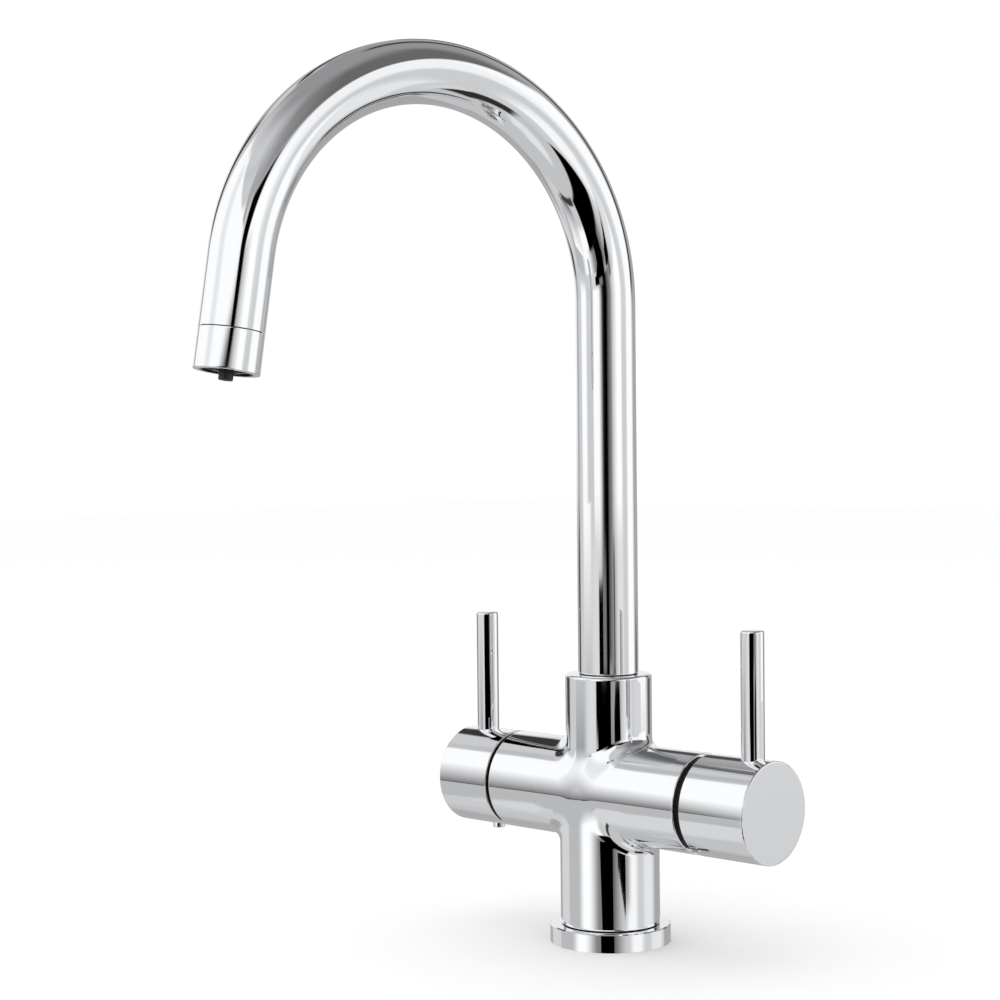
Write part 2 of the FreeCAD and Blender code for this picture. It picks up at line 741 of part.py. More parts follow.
def aerator_mesh():
    """The perforated disc that shows in the outlet, with a hole in the middle for the nozzle."""
    mesh = start_body("aerator_mesh")
    outer = size.insert_radius - size.insert_wall - size.fit_gap
    sketch = start_sketch(mesh, "XY_Plane", size.mesh_lift)
    circle(sketch, ZERO, ZERO, outer)
    circle(sketch, ZERO, ZERO, size.nozzle_radius + size.fit_gap)
    pitch = (outer - size.nozzle_radius) / (len(MESH_HOLES) + 1)
    for ring_number, count in enumerate(MESH_HOLES, 1):
        reach = size.nozzle_radius + pitch * ring_number
        for k in range(count):
            turn = 2 * math.pi * k / count
            circle(sketch, reach * math.cos(turn), reach * math.sin(turn), size.mesh_hole_radius)
    pad(mesh, sketch, size.mesh_thickness)
    return mesh


def aerator_seal():
    inner = size.insert_radius - size.adapter_wall
    return ring("aerator_seal", inner, size.insert_radius, size.insert_top, size.adapter_foot)


def outlet_nozzle():
    """The stub for filtered water, pushed into the end of its tube."""
    tip = -size.nozzle_drop
    step = size.adapter_foot
    top = step + size.nozzle_grip
    spigot = size.core_radius - size.core_wall - size.fit_gap
    bore = spigot - size.nozzle_wall
    outer = size.nozzle_radius
    nozzle = profile_ring("outlet_nozzle", [
        (bore, tip), (outer, tip), (outer, step), (spigot, step), (spigot, top), (bore, top),
    ])
    soften(nozzle, ring_edges(nozzle, outer, "z", tip), size.nozzle_round)
    return nozzle


def barrel_body(label):
    """A body whose own origin lies on the barrel's axis."""
    return start_body(label, z=size.barrel_height)


def turn_on_barrel(body, s, points, kind="Revolution"):
    """Revolve a profile of distances out along the barrel and radii round it."""
    return revolve(body, [(out * s.sign, radius) for out, radius in points], "H_Axis", kind)


def valve(s):
    """The still pieces of one ceramic valve: shell, nut, ring, fixed disc, seat seal and glide ring."""
    floor = size.socket_floor
    wall = size.socket_radius - size.fit_gap
    chamber = size.disc_radius + size.fit_gap
    bearing = size.spindle_radius + size.run_gap
    inner = size.disc_back + size.spindle_flange_thickness + size.face_gap
    nut_start = size.valve_nut_start
    nut_end = size.valve_nut_end
    groove, half = ring_groove(wall, size.valve_ring_thickness)
    place = nut_start - size.valve_ring_lead
    neck_end = s.hub - size.face_gap
    turn_on_barrel(barrel_body(f"{s.name}_valve_body"), s, [
        (floor, chamber), (floor, wall), (place - half, wall), (place - half, groove), (place + half, groove),
        (place + half, wall), (nut_start, wall), (nut_start, size.neck_radius), (neck_end, size.neck_radius),
        (neck_end, bearing), (inner, bearing), (inner, chamber),
    ])
    hole = size.neck_radius + size.fit_gap
    turn_on_barrel(barrel_body(f"{s.name}_valve_nut"), s, [
        (nut_start, hole), (nut_start, wall), (nut_end, wall), (nut_end, hole),
    ])
    barrel_ring(f"{s.name}_valve_ring", s, wall, size.valve_ring_thickness, place)
    seal_end = floor + size.seat_seal_thickness
    ported_disc(f"{s.name}_seat_seal", s, floor, size.seat_seal_thickness)
    ported_disc(f"{s.name}_fixed_disc", s, seal_end, size.disc_thickness)
    face = size.stub_reach
    glide_end = s.rim - size.face_gap
    glide_radius = size.barrel_radius - size.glide_inset
    turn_on_barrel(barrel_body(f"{s.name}_glide_ring"), s, [
        (nut_end, hole), (nut_end, wall), (face, wall), (face, glide_radius), (glide_end, glide_radius),
        (glide_end, hole),
    ])


def barrel_ring(label, s, outer, thickness, place):
    at = (place * s.sign, ZERO, size.barrel_height)
    torus(label, outer, thickness, [(at, "(0; 1; 0)", HALF_TURN / 2)])


def ported_disc(label, s, start, thickness):
    """A disc across the barrel with the outlet port in the middle and the inlet ports round it."""
    disc = barrel_body(label)
    sketch = start_sketch(disc, "YZ_Plane", start * s.sign)
    circle(sketch, ZERO, ZERO, size.disc_radius)
    for y, z in [(ZERO, ZERO)] + s.inlets:
        circle(sketch, y, z, size.port_radius)
    pad(disc, sketch, thickness, reverse=not s.outward)


def spindle_set(s):
    """The pieces of one valve that turn with its handle: moving disc, spindle and spindle ring."""
    half_width = size.tongue_width / 2
    half_length = size.disc_radius - size.tongue_inset
    disc = barrel_body(f"{s.name}_moving_disc")
    face = start_sketch(disc, "YZ_Plane", size.disc_front * s.sign)
    circle(face, ZERO, ZERO, size.disc_radius)
    pad(disc, face, size.disc_thickness, reverse=not s.outward)
    slot = start_sketch(disc, "YZ_Plane", size.disc_front * s.sign)
    port = size.port_radius
    rectangle(slot, (-size.port_circle - port, port), (-port, port))
    gap = size.fit_gap
    key_depth = size.tongue_depth + gap
    cut(disc, slot, size.disc_thickness - key_depth - size.disc_web, reverse=s.outward)
    key = start_sketch(disc, "YZ_Plane", (size.disc_front + size.disc_thickness) * s.sign)
    rectangle(key, (-half_length - gap, half_length + gap), (-half_width - gap, half_width + gap))
    cut(disc, key, key_depth, reverse=not s.outward)
    flange = size.disc_radius - size.spindle_flange_inset
    flange_end = size.disc_back + size.spindle_flange_thickness
    shaft_end = s.hub - size.face_gap
    groove, half = ring_groove(size.spindle_radius, size.spindle_ring_thickness)
    place = size.stub_reach - size.spindle_ring_lead
    shaft = size.spindle_radius
    spindle = barrel_body(f"{s.name}_spindle")
    turn_on_barrel(spindle, s, [
        (size.disc_back, ZERO), (size.disc_back, flange), (flange_end, flange), (flange_end, shaft),
        (place - half, shaft), (place - half, groove), (place + half, groove), (place + half, shaft),
        (shaft_end, shaft), (shaft_end, size.tip_radius), (s.tip_end, size.tip_radius), (s.tip_end, ZERO),
    ])
    tongue = start_sketch(spindle, "YZ_Plane", size.disc_back * s.sign)
    rectangle(tongue, (-half_length, half_length), (-half_width, half_width))
    pad(spindle, tongue, size.tongue_depth, reverse=s.outward)
    barrel_ring(f"{s.name}_spindle_ring", s, shaft, size.spindle_ring_thickness, place)


def handle(s):
    """One hollow handle with a hub inside that sits on the spindle, and a hole for its lever."""
    body = barrel_body(f"{s.name}_handle")
    wall = s.end - size.handle_end_wall
    bore = size.tip_radius + size.fit_gap
    bore_end = s.tip_end + size.face_gap
    cavity = size.handle_cavity
    radius = size.barrel_radius
    turn_on_barrel(body, s, [
        (s.rim, cavity), (s.rim, radius), (s.end, radius), (s.end, ZERO), (bore_end, ZERO), (bore_end, bore),
        (s.hub, bore), (s.hub, size.hub_radius), (wall, size.hub_radius), (wall, cavity),
    ])
    soften(body, ring_edges(body, radius, "x", s.end * s.sign), size.handle_round)
    soften(body, ring_edges(body, radius, "x", s.rim * s.sign), size.rim_round)
    x = s.lever * s.sign
    rod = (x, ZERO, size.lever_radius + size.fit_gap)
    outside = radius + size.cut_over
    drill(body, "XY_Plane", size.hub_radius - size.fit_gap, [rod], outside - size.hub_radius, reverse=True)
    stud = (x, ZERO, size.stud_radius + size.fit_gap)
    drill(body, "XY_Plane", ZERO, [stud], size.hub_radius, reverse=True)
    return body


def lever(s):
    """A pin lever whose stud screws down through the hub and locks the handle on the spindle."""
    pin = start_body(f"{s.name}_lever", s.lever * s.sign, size.barrel_height)
    stud = size.stud_radius
    foot = size.tip_radius + size.fit_gap
    top = size.lever_rise
    revolve(pin, [
        (ZERO, foot), (stud, foot), (stud, size.hub_radius), (size.lever_radius, size.hub_radius),
        (size.lever_radius, top), (ZERO, top),
    ])
    soften(pin, ring_edges(pin, size.lever_radius, "z", top), size.lever_round)


def safety_button(left_handle):
    """The sprung button under the left handle, with the bush in the handle that carries it and its spring."""
    place = LEFT.rim + size.button_inset
    x = -place
    run = size.run_gap
    outside = size.barrel_radius + size.cut_over
    cavity = size.handle_cavity
    hole = (x, ZERO, size.button_radius + run)
    drill(left_handle, "XY_Plane", -outside, [hole], outside - cavity + size.cut_over, reverse=True)
    carrier = barrel_body("button_carrier")
    rim = cavity - size.fit_gap
    bore = size.carrier_bore
    near = LEFT.rim + size.face_gap
    far = LEFT.end - size.handle_end_wall - size.face_gap
    turn_on_barrel(carrier, LEFT, [(near, bore), (near, rim), (far, rim), (far, bore)])
    rod = (-LEFT.lever, ZERO, size.lever_radius + size.face_gap)
    drill(carrier, "XY_Plane", ZERO, [rod], cavity + size.cut_over, reverse=True)
    well = (x, ZERO, size.button_flange_radius + run)
    seat = size.carrier_seat
    drill(carrier, "XY_Plane", -cavity, [well], cavity - seat, reverse=True)
    stem_hole = (x, ZERO, size.button_stem_radius + run)
    drill(carrier, "XY_Plane", -seat, [stem_hole], seat, reverse=True)
    tip = -(size.barrel_radius + size.button_proud)
    low = size.button_flange_depth - cavity
    high = low + size.button_flange_thickness
    flange = size.button_flange_radius
    stem = size.button_stem_radius
    stem_end = -(bore + size.button_stem_inset)
    button = start_body("safety_button", x, size.barrel_height)
    revolve(button, [
        (ZERO, tip), (size.button_radius, tip), (size.button_radius, low), (flange, low), (flange, high),
        (stem, high), (stem, stem_end), (ZERO, stem_end),
    ])
    soften(button, ring_edges(button, size.button_radius, "z", tip), size.button_round)
    button_spring(x, size.barrel_height + high, size.barrel_height - seat)


def half_of_biarc(start, corner, end):
    """The arc from start to end whose tangents there meet at the corner."""
    middle = (start + end) / 2
    bend = (end - start).Length / 2 / (corner - start).Length
    return Part.Arc(start, middle + (corner - middle) * bend / (1 + bend), end).toShape()


def coil_line(radius, height, turns):
    """A coil about the upright axis, as a pair of arcs to each quarter of a turn."""
    slope = height / (2 * math.pi * turns)
    spots = []
    for k in range(4 * turns + 1):
        across, along = math.cos(k * math.pi / 2), math.sin(k * math.pi / 2)
        spot = FreeCAD.Vector(radius * across, radius * along, height * k / (4 * turns))
        spots.append((spot, FreeCAD.Vector(-radius * along, radius * across, slope).normalize()))
    arcs = []
    for (start, leaving), (end, arriving) in zip(spots, spots[1:]):
        chord = end - start
        both = chord.dot(leaving + arriving)
        spread = 2 * (1 - leaving.dot(arriving))
        reach = (math.sqrt(both**2 + spread * chord.dot(chord)) - both) / spread
        first, second = start + leaving * reach, end - arriving * reach
        joint = (first + second) / 2
        arcs += [half_of_biarc(start, first, joint), half_of_biarc(joint, second, end)]
    return Part.Wire(arcs), spots[0][1]


def button_spring(x, bottom, top):
    """One coil of wire between the button's flange and the carrier's seat."""
    wire = size.spring_wire_radius
    inset = wire + size.fit_gap
    height = (top - bottom - inset * 2).value
    line, leaving = coil_line(size.spring_radius.value, height, SPRING_TURNS)
    start = FreeCAD.Vector(size.spring_radius.value, 0, 0)
    section = Part.Wire(Part.Circle(start, leaving, wire.value).toShape())
    coil = doc.addObject("Part::Feature", "button_spring")
    coil.Shape = line.makePipeShell([section], True, False)
    place_by(coil, ((x, ZERO, bottom + inset), UPRIGHT, ZERO))
    print(f"button_spring: gap between its turns {height / SPRING_TURNS - 2 * wire.value:.2f} mm")
    pieces.append(coil)


def hand_in():
    """Check every object, then write each piece to a file named by its label."""
    doc.recompute()
    for thing in doc.Objects:
        if "Invalid" in thing.State or "Error" in thing.State:
            raise RuntimeError(f"{thing.Label} is {thing.State}")
    os.makedirs("parts", exist_ok=True)
    for piece in pieces:
        shape = piece.Shape
        if shape.isNull() or not shape.isValid() or not shape.Solids:
            raise RuntimeError(f"{piece.Label} has no sound solid")
        shape.exportStep(f"parts/{piece.Label}.step")
        print(f"{piece.Label}: {len(shape.Solids)} solid, {shape.Volume:.1f} mm3")


body_casting()
base_fixing()
spout()
outlet()
for one in SIDES:
    valve(one)
    spindle_set(one)
    shell = handle(one)
    lever(one)
    if one is LEFT:
        safety_button(shell)
hand_in()
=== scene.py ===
import json
import math

import bmesh
import bpy
import numpy as np
from mathutils import Matrix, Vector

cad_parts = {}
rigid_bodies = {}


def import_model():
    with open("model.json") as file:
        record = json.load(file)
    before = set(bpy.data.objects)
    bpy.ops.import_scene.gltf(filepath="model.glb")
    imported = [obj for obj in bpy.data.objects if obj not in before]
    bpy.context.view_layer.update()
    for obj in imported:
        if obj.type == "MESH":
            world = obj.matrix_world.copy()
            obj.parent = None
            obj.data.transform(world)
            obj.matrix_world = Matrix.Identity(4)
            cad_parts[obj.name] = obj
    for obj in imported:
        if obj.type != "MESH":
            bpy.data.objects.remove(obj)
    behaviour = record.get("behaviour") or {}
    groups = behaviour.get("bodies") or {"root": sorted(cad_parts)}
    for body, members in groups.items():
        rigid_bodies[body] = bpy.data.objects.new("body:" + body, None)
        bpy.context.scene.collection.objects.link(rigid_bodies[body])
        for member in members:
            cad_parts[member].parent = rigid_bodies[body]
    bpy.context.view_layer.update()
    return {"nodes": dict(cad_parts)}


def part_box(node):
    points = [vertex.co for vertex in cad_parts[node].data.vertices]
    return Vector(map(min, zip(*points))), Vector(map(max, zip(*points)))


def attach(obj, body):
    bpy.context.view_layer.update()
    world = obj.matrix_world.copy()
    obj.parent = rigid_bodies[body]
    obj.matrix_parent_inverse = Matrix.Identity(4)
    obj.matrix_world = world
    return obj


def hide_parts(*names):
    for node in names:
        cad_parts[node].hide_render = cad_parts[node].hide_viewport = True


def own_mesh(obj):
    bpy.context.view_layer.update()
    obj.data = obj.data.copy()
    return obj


for spare in list(bpy.data.objects):
    bpy.data.objects.remove(spare)

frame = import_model()


# The shank, gasket, washer and back nut clamp the tap to the worktop, and a small screw keeps the spout in
# its collar. The shank and nut are turned from brass bar, the washer and screw are zinc-plated steel, and
# moulded rubber rings seal the seams here and in the valves.
BRASS_FEED = 0.0004
BRASS_CLOUD = 0.004
ZINC_FLAKE = 0.003
RUBBER_GRAIN = 0.0003
WAVE_LENGTH = 2 * math.pi / 20


def hex_to_linear(text):
    """One colour, from the sRGB hex that it is written in to the linear light that shaders take."""
    channels = [int(text[k : k + 2], 16) / 255 for k in (1, 3, 5)]
    linear = [c / 12.92 if c <= 0.04045 else ((c + 0.055) / 1.055) ** 2.4 for c in channels]
    return (*linear, 1.0)


def add_node(tree, kind, settings=None, **links):
    """One node with its settings, and its inputs set to a value or linked to another node's output. An
    input is called by its name, or by its number after a low line."""
    node = tree.nodes.new(kind)
    for name, value in (settings or {}).items():
        setattr(node, name, value)
    for name, value in links.items():
        socket = node.inputs[int(name[1:]) if name[1:].isdigit() else name.replace("_", " ")]
        if isinstance(value, bpy.types.NodeSocket):
            tree.links.new(value, socket)
        else:
            socket.default_value = value
    return node


def start_material(name, **values):
    """A new material with a Principled shader, whose sockets take the values given, and Object
    coordinates."""
    material = bpy.data.materials.new(name)
    material.use_nodes = True
    tree = material.node_tree
    shader = tree.nodes["Principled BSDF"]
    for socket, value in values.items():
        shader.inputs[socket.replace("_", " ")].default_value = value
    return material, tree, shader, add_node(tree, "ShaderNodeTexCoord").outputs["Object"]


def finish_nodes(material, *names):
    """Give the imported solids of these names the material."""
    for name in names:
        for place in frame["nodes"][name].material_slots:
            place.material = material


# Turned brass: a dull gold sheen with fine rings across the axis. A ring is drawn every 0.4 mm, coarser
# than the real feed mark, so that it shows.
turned_brass, tree, shader, place = start_material(
    "turned_brass", Base_Color=hex_to_linear("#C8A862"), Metallic=1.0, Roughness=0.3
)
rings = add_node(
    tree, "ShaderNodeTexWave", {"bands_direction": "Z"},
    Vector=place, Scale=WAVE_LENGTH / BRASS_FEED, Distortion=0.6, Detail=1.0,
)
cloud = add_node(tree, "ShaderNodeTexNoise", Vector=place, Scale=1 / BRASS_CLOUD, Detail=3.0)
dull = add_node(tree, "ShaderNodeMapRange", Value=cloud.outputs["Fac"], To_Min=0.22, To_Max=0.4)
bump = add_node(tree, "ShaderNodeBump", Height=rings.outputs["Fac"], Strength=0.25, Distance=0.00005)
tree.links.new(dull.outputs["Result"], shader.inputs["Roughness"])
tree.links.new(bump.outputs["Normal"], shader.inputs["Normal"])
finish_nodes(
    turned_brass, "mounting_shank", "back_nut", "spout_tail", "left_spindle", "right_spindle",
    "left_valve_body", "right_valve_body", "left_valve_nut", "right_valve_nut",
)

# Zinc plate: pale, slightly blue crystals a few millimetres across that scatter the light unevenly.
zinc_plate, tree, shader, place = start_material("zinc_plated_steel", Metallic=1.0, Roughness=0.34)
flake = add_node(tree, "ShaderNodeTexVoronoi", Vector=place, Scale=1 / ZINC_FLAKE)
tint = add_node(
    tree, "ShaderNodeMix", {"data_type": "RGBA"},
    _0=flake.outputs["Color"], _6=hex_to_linear("#A9AEB8"), _7=hex_to_linear("#C6C9CE"),
)
tree.links.new(tint.outputs[2], shader.inputs["Base Color"])
dull = add_node(tree, "ShaderNodeMapRange", Value=flake.outputs["Distance"], To_Min=0.28, To_Max=0.42)
tree.links.new(dull.outputs["Result"], shader.inputs["Roughness"])
finish_nodes(zinc_plate, "deck_washer", "spout_stop_screw")

# Nitrile rubber: moulded, black and dull, with a fine matt grain of about 0.3 mm.
nitrile, tree, shader, place = start_material(
    "moulded_nitrile_rubber", Base_Color=hex_to_linear("#141415"), Roughness=0.62, IOR=1.52
)
grain = add_node(tree, "ShaderNodeTexNoise", Vector=place, Scale=1 / RUBBER_GRAIN, Detail=2.0)
dull = add_node(tree, "ShaderNodeMapRange", Value=grain.outputs["Fac"], To_Min=0.52, To_Max=0.74)
bump = add_node(tree, "ShaderNodeBump", Height=grain.outputs["Fac"], Strength=0.3, Distance=0.00003)
tree.links.new(dull.outputs["Result"], shader.inputs["Roughness"])
tree.links.new(bump.outputs["Normal"], shader.inputs["Normal"])
finish_nodes(
    nitrile, "base_seal", "deck_gasket", "tube_seat_ring", "spout_rings", "aerator_seal", "left_spindle_ring",
    "right_spindle_ring", "left_valve_ring", "right_valve_ring", "left_seat_seal", "right_seat_seal",
)


# The body is one brass casting in the shape of a cross, ground, polished and chrome-plated. Grinding and
# polishing run the barrel into the column with no line to be seen. The base ring and the handles' hubs are
# turned and plated the same way.
BARREL_AXIS = 0.0622
BARREL_RADIUS = 0.02045
BARREL_SWELL = 0.0004
SWELL_REACH = 0.026
COLUMN_RADIUS = 0.0206
COLLAR_RADIUS = 0.0179
TAPER_FOOT = 0.060
TAPER_TOP = 0.082
CROSSING_BLEND = 0.005
FLATTEST_CROSSING = 0.985
ROUND_STEPS = 256
NEAR_STEPS = 43
RIM_STEPS = 6
STRAIGHT_EDGE = 0.0003
SLOPE_STEP = 1e-6
SETTLE_ROUNDS = 8
MERGE_DISTANCE = 2e-6
SHARP_ANGLE = math.radians(30)
HAZE_PATCH = 0.006
STAIN_PATCH = 0.001


def crossing_gap(place):
    """How far a point lies outside the casting: the barrel's and the column's distances, joined by a round
    fillet that shrinks with the sine of the angle between the two walls. The barrel swells a little towards
    the column, and the column narrows to the collar along half a cosine wave."""
    x, y, rise = place[..., 0], place[..., 1], place[..., 2] - BARREL_AXIS
    share = np.clip((place[..., 2] - TAPER_FOOT) / (TAPER_TOP - TAPER_FOOT), 0, 1)
    upright = COLUMN_RADIUS + (COLLAR_RADIUS - COLUMN_RADIUS) * (1 - np.cos(share * math.pi)) / 2
    swell = BARREL_SWELL * np.cos(np.clip(np.abs(x) / SWELL_REACH, 0, 1) * math.pi / 2) ** 2
    from_barrel, from_upright = np.hypot(y, rise), np.hypot(x, y)
    off_barrel, off_upright = from_barrel - BARREL_RADIUS - swell, from_upright - upright
    facing = np.minimum(y * y / (from_barrel * from_upright), FLATTEST_CROSSING)
    blend = CROSSING_BLEND * np.sqrt(1 - facing**2)
    in_both = np.hypot(np.maximum(blend - off_barrel, 0), np.maximum(blend - off_upright, 0))
    return np.maximum(blend, np.minimum(off_barrel, off_upright)) - in_both


def onto_casting(place):
    """Move points along the steepest slope of the gap until they lie on the casting's skin."""
    for _ in range(SETTLE_ROUNDS):
        beyond = np.stack([crossing_gap(place + SLOPE_STEP * axis) for axis in np.eye(3)], -1)
        before = np.stack([crossing_gap(place - SLOPE_STEP * axis) for axis in np.eye(3)], -1)
        slope = (beyond - before) / (2 * SLOPE_STEP)
        place = place - (crossing_gap(place) / (slope**2).sum(-1))[..., None] * slope
    return place


def turned_rows(ring, profile):
    """Rows of a turned surface: each (radius, height) of the profile times the ring's direction round the
    axis."""
    radius, height = np.array(profile).T[..., None]
    across, ahead = ring
    return np.stack([radius * across, radius * ahead, height + 0 * across], -1)


def quarter_round(radius, height, size, lift):
    """The (radius, height) pairs of a quarter circle that rounds off a rim; lift is 1 at an upper rim, -1
    at a lower. A pair just before it keeps the wall's shading straight up to the rim."""
    angle = np.linspace(0, math.pi / 2, RIM_STEPS + 1)
    rounded = zip(radius - size * (1 - np.cos(angle)), height - lift * size * (1 - np.sin(angle)))
    return [(radius, height - lift * (size + STRAIGHT_EDGE)), *rounded]


def skin_piece(name, grids, material, body):
    """One closed mesh from grids of points, with a square between each four neighbours and equal points
    merged."""
    points, faces, first = [], [], 0
    for grid in grids:
        rows, columns = grid.shape[:2]
        index = first + np.arange(rows * columns).reshape(rows, columns)
        corners = [index[:-1, :-1], index[:-1, 1:], index[1:, 1:], index[1:, :-1]]
        points.append(grid.reshape(-1, 3))
        faces.append(np.stack(corners, -1).reshape(-1, 4))
        first += rows * columns
    mesh = bpy.data.meshes.new(name)
    mesh.from_pydata(np.concatenate(points), [], np.concatenate(faces))
    work = bmesh.new()
    work.from_mesh(mesh)
    bmesh.ops.remove_doubles(work, verts=work.verts, dist=MERGE_DISTANCE)
    bmesh.ops.recalc_face_normals(work, faces=work.faces)
    work.to_mesh(mesh)
    work.free()
    mesh.shade_smooth()
    mesh.set_sharp_from_angle(angle=SHARP_ANGLE)
    mesh.materials.append(material)
    piece = bpy.data.objects.new(name, mesh)
    bpy.context.collection.objects.link(piece)
    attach(piece, body)
    return piece


# Chrome plate: a mirror with hardly any colour, and a faint haze that polishing leaves in patches of about
# 6 mm.
chrome, tree, shader, place = start_material(
    "polished_chrome_plate", Base_Color=hex_to_linear("#F1F2F4"), Metallic=1.0, Roughness=0.03
)
haze = add_node(tree, "ShaderNodeTexNoise", Vector=place, Scale=1 / HAZE_PATCH, Detail=4.0)
dull = add_node(tree, "ShaderNodeMapRange", Value=haze.outputs["Fac"], To_Min=0.015, To_Max=0.045)
tree.links.new(dull.outputs["Result"], shader.inputs["Roughness"])
finish_nodes(chrome, "base_flange", "left_handle", "right_handle", "safety_button")

# Painted shade for the seams: bare brass coloured brown-black to stand for the shade in the narrow gaps, and
# dull, with its roughness varying in stains of about 1 mm.
painted_seam_shade, tree, shader, place = start_material(
    "seam_shade_painted_brass", Base_Color=hex_to_linear("#1B1712"), Metallic=0.6, Roughness=0.6
)
stain = add_node(tree, "ShaderNodeTexNoise", Vector=place, Scale=1 / STAIN_PATCH, Detail=3.0)
dull = add_node(tree, "ShaderNodeMapRange", Value=stain.outputs["Fac"], To_Min=0.5, To_Max=0.75)
tree.links.new(dull.outputs["Result"], shader.inputs["Roughness"])
# The outlet adapter shows only in the hairline seam under the sleeve, so it takes this painted seam shade.
finish_nodes(painted_seam_shade, "outlet_adapter")

# Each arm's rows start on the planes where the arms meet, half-way between the axes, and run out to its
# end. A row of the sideways arms holds the same turns about the barrel as the upright ones hold about the
# column.
STUB_END = 0.0505
STUB_ROUND = 0.0005
STUB_CLEAR = 0.03
SOCKET_RADIUS = 0.014
SOCKET_FLOOR = 0.02
round_turn = np.linspace(-math.pi, math.pi, ROUND_STEPS + 1)
ring = np.sin(round_turn), np.cos(round_turn)
meeting = BARREL_RADIUS * np.abs(ring[0])
near_rows = np.linspace(0, 1, NEAR_STEPS + 1)[:, None]
blend_rows = np.stack([
    BARREL_RADIUS * ring[1] + 0 * near_rows,
    BARREL_RADIUS * ring[0] + 0 * near_rows,
    meeting + (STUB_CLEAR - meeting) * near_rows,
], -1)
end_rows = turned_rows(
    (ring[1], ring[0]),
    quarter_round(BARREL_RADIUS, STUB_END, STUB_ROUND, 1)
    + [(SOCKET_RADIUS, STUB_END), (SOCKET_RADIUS, SOCKET_FLOOR), (0, SOCKET_FLOOR)],
)
casting_grids = []
for side in (-1, 1):
    rows = np.concatenate([blend_rows, end_rows])[..., [2, 0, 1]] * (side, 1, 1) + (0, 0, BARREL_AXIS)
    rows[: len(near_rows)] = onto_casting(rows[: len(near_rows)])
    casting_grids.append(rows)

# The collar carries the spout's bore, with the seat of the inner tube in its floor. The hole for the stop
# screw at the back replaces a window of the grid: its squares' outline shrinks to a circle, which runs
# inwards.
COLLAR_TOP = 0.1112
COLLAR_ROUND = 0.0012
COLLAR_CLEAR = 0.0248
SPOUT_BORE = 0.01156
SPOUT_FLOOR = 0.0712
INNER_SEAT_RADIUS = 0.00456
INNER_SEAT_FLOOR = 0.06965
INNER_WAY_RADIUS = 0.00306
WINDOW_STEPS = 8
WINDOW_PITCH = 0.00075
HOLE_STEPS = 7
STOP_HEIGHT = 0.09
STOP_RADIUS = 0.00205
STOP_FLOOR = 0.012
STOP_RIM_SHARES = (1.3, 1.1, 1.0)
STOP_ROUND_SHARE = 0.1
collar_rows = np.stack([
    BARREL_RADIUS * ring[0] + 0 * near_rows,
    BARREL_RADIUS * ring[1] + 0 * near_rows,
    BARREL_AXIS + meeting + (COLLAR_CLEAR - meeting) * near_rows,
], -1)
window_rows = turned_rows(ring, [
    (COLLAR_RADIUS, BARREL_AXIS + COLLAR_CLEAR + WINDOW_PITCH * (k + 1)) for k in range(WINDOW_STEPS)
])
collar_rows = onto_casting(np.concatenate([collar_rows, window_rows]))
collar_end = turned_rows(ring, quarter_round(COLLAR_RADIUS, COLLAR_TOP, COLLAR_ROUND, 1) + [
    (SPOUT_BORE, COLLAR_TOP), (SPOUT_BORE, SPOUT_FLOOR), (INNER_SEAT_RADIUS, SPOUT_FLOOR),
    (INNER_SEAT_RADIUS, INNER_SEAT_FLOOR), (INNER_WAY_RADIUS, INNER_SEAT_FLOOR),
    (INNER_WAY_RADIUS, BARREL_AXIS), (0, BARREL_AXIS),
])
collar = np.concatenate([collar_rows, collar_end])
window_low = NEAR_STEPS
window_high = window_low + WINDOW_STEPS
hole_left, hole_right = ROUND_STEPS // 2 - HOLE_STEPS, ROUND_STEPS // 2 + HOLE_STEPS
casting_grids += [
    collar[: window_low + 1], collar[window_low : window_high + 1, : hole_left + 1],
    collar[window_low : window_high + 1, hole_right:], collar[window_high:],
]
outline = np.concatenate([
    collar[window_low, hole_left:hole_right], collar[window_low:window_high, hole_right],
    collar[window_high, hole_right:hole_left:-1], collar[window_high:window_low:-1, hole_left],
    collar[window_low, hole_left : hole_left + 1],
])
spread = np.arctan2(outline[:, 2] - STOP_HEIGHT, outline[:, 0])
rim = np.stack([np.cos(spread), np.sin(spread)], -1)
around = [outline[:, [0, 2]] - (0, STOP_HEIGHT)] + [rim * STOP_RADIUS * share for share in STOP_RIM_SHARES]
hole_rows = [
    np.stack([flat[:, 0], np.sqrt(COLLAR_RADIUS**2 - flat[:, 0] ** 2), STOP_HEIGHT + flat[:, 1]], -1)
    for flat in around
]
hole_rows[-1][:, 1] -= STOP_RADIUS * STOP_ROUND_SHARE
for share in (1, 0):
    flat = rim * STOP_RADIUS * share
    hole_rows.append(np.stack([flat[:, 0], STOP_FLOOR + 0 * flat[:, 0], STOP_HEIGHT + flat[:, 1]], -1))
casting_grids.append(np.array(hole_rows))

# The column's foot stands in the base ring on a narrower step, and the shank screws up into it. Three hose
# inlets open in the floor of that socket, each in a third of it.
COLUMN_CLEAR = -0.03
FOOT = 0.0078
FOOT_ROUND = 0.0003
STEP_RADIUS = 0.0197
STEP_FOOT = 0.0075
SHANK_SOCKET = 0.01605
SHANK_FLOOR = 0.01355
INLET_CIRCLE = 0.0075
INLET_RADIUS = 0.00445
INLET_TOP = 0.0255
THIRD_STEPS = 64
SPOKE_STEPS = 11
SEAM_MARGIN = 0.000003
column_rows = onto_casting(np.stack([
    BARREL_RADIUS * ring[0] + 0 * near_rows,
    BARREL_RADIUS * ring[1] + 0 * near_rows,
    BARREL_AXIS - meeting + (COLUMN_CLEAR + meeting) * near_rows,
], -1))
column_end = turned_rows(ring, quarter_round(COLUMN_RADIUS, FOOT, FOOT_ROUND, -1) + [
    (STEP_RADIUS, FOOT), (STEP_RADIUS, STEP_FOOT), (SHANK_SOCKET, STEP_FOOT), (SHANK_SOCKET, SHANK_FLOOR),
])
casting_grids.append(np.concatenate([column_rows, column_end]))
third = np.linspace(-math.pi / 3, math.pi / 3, THIRD_STEPS + 1)
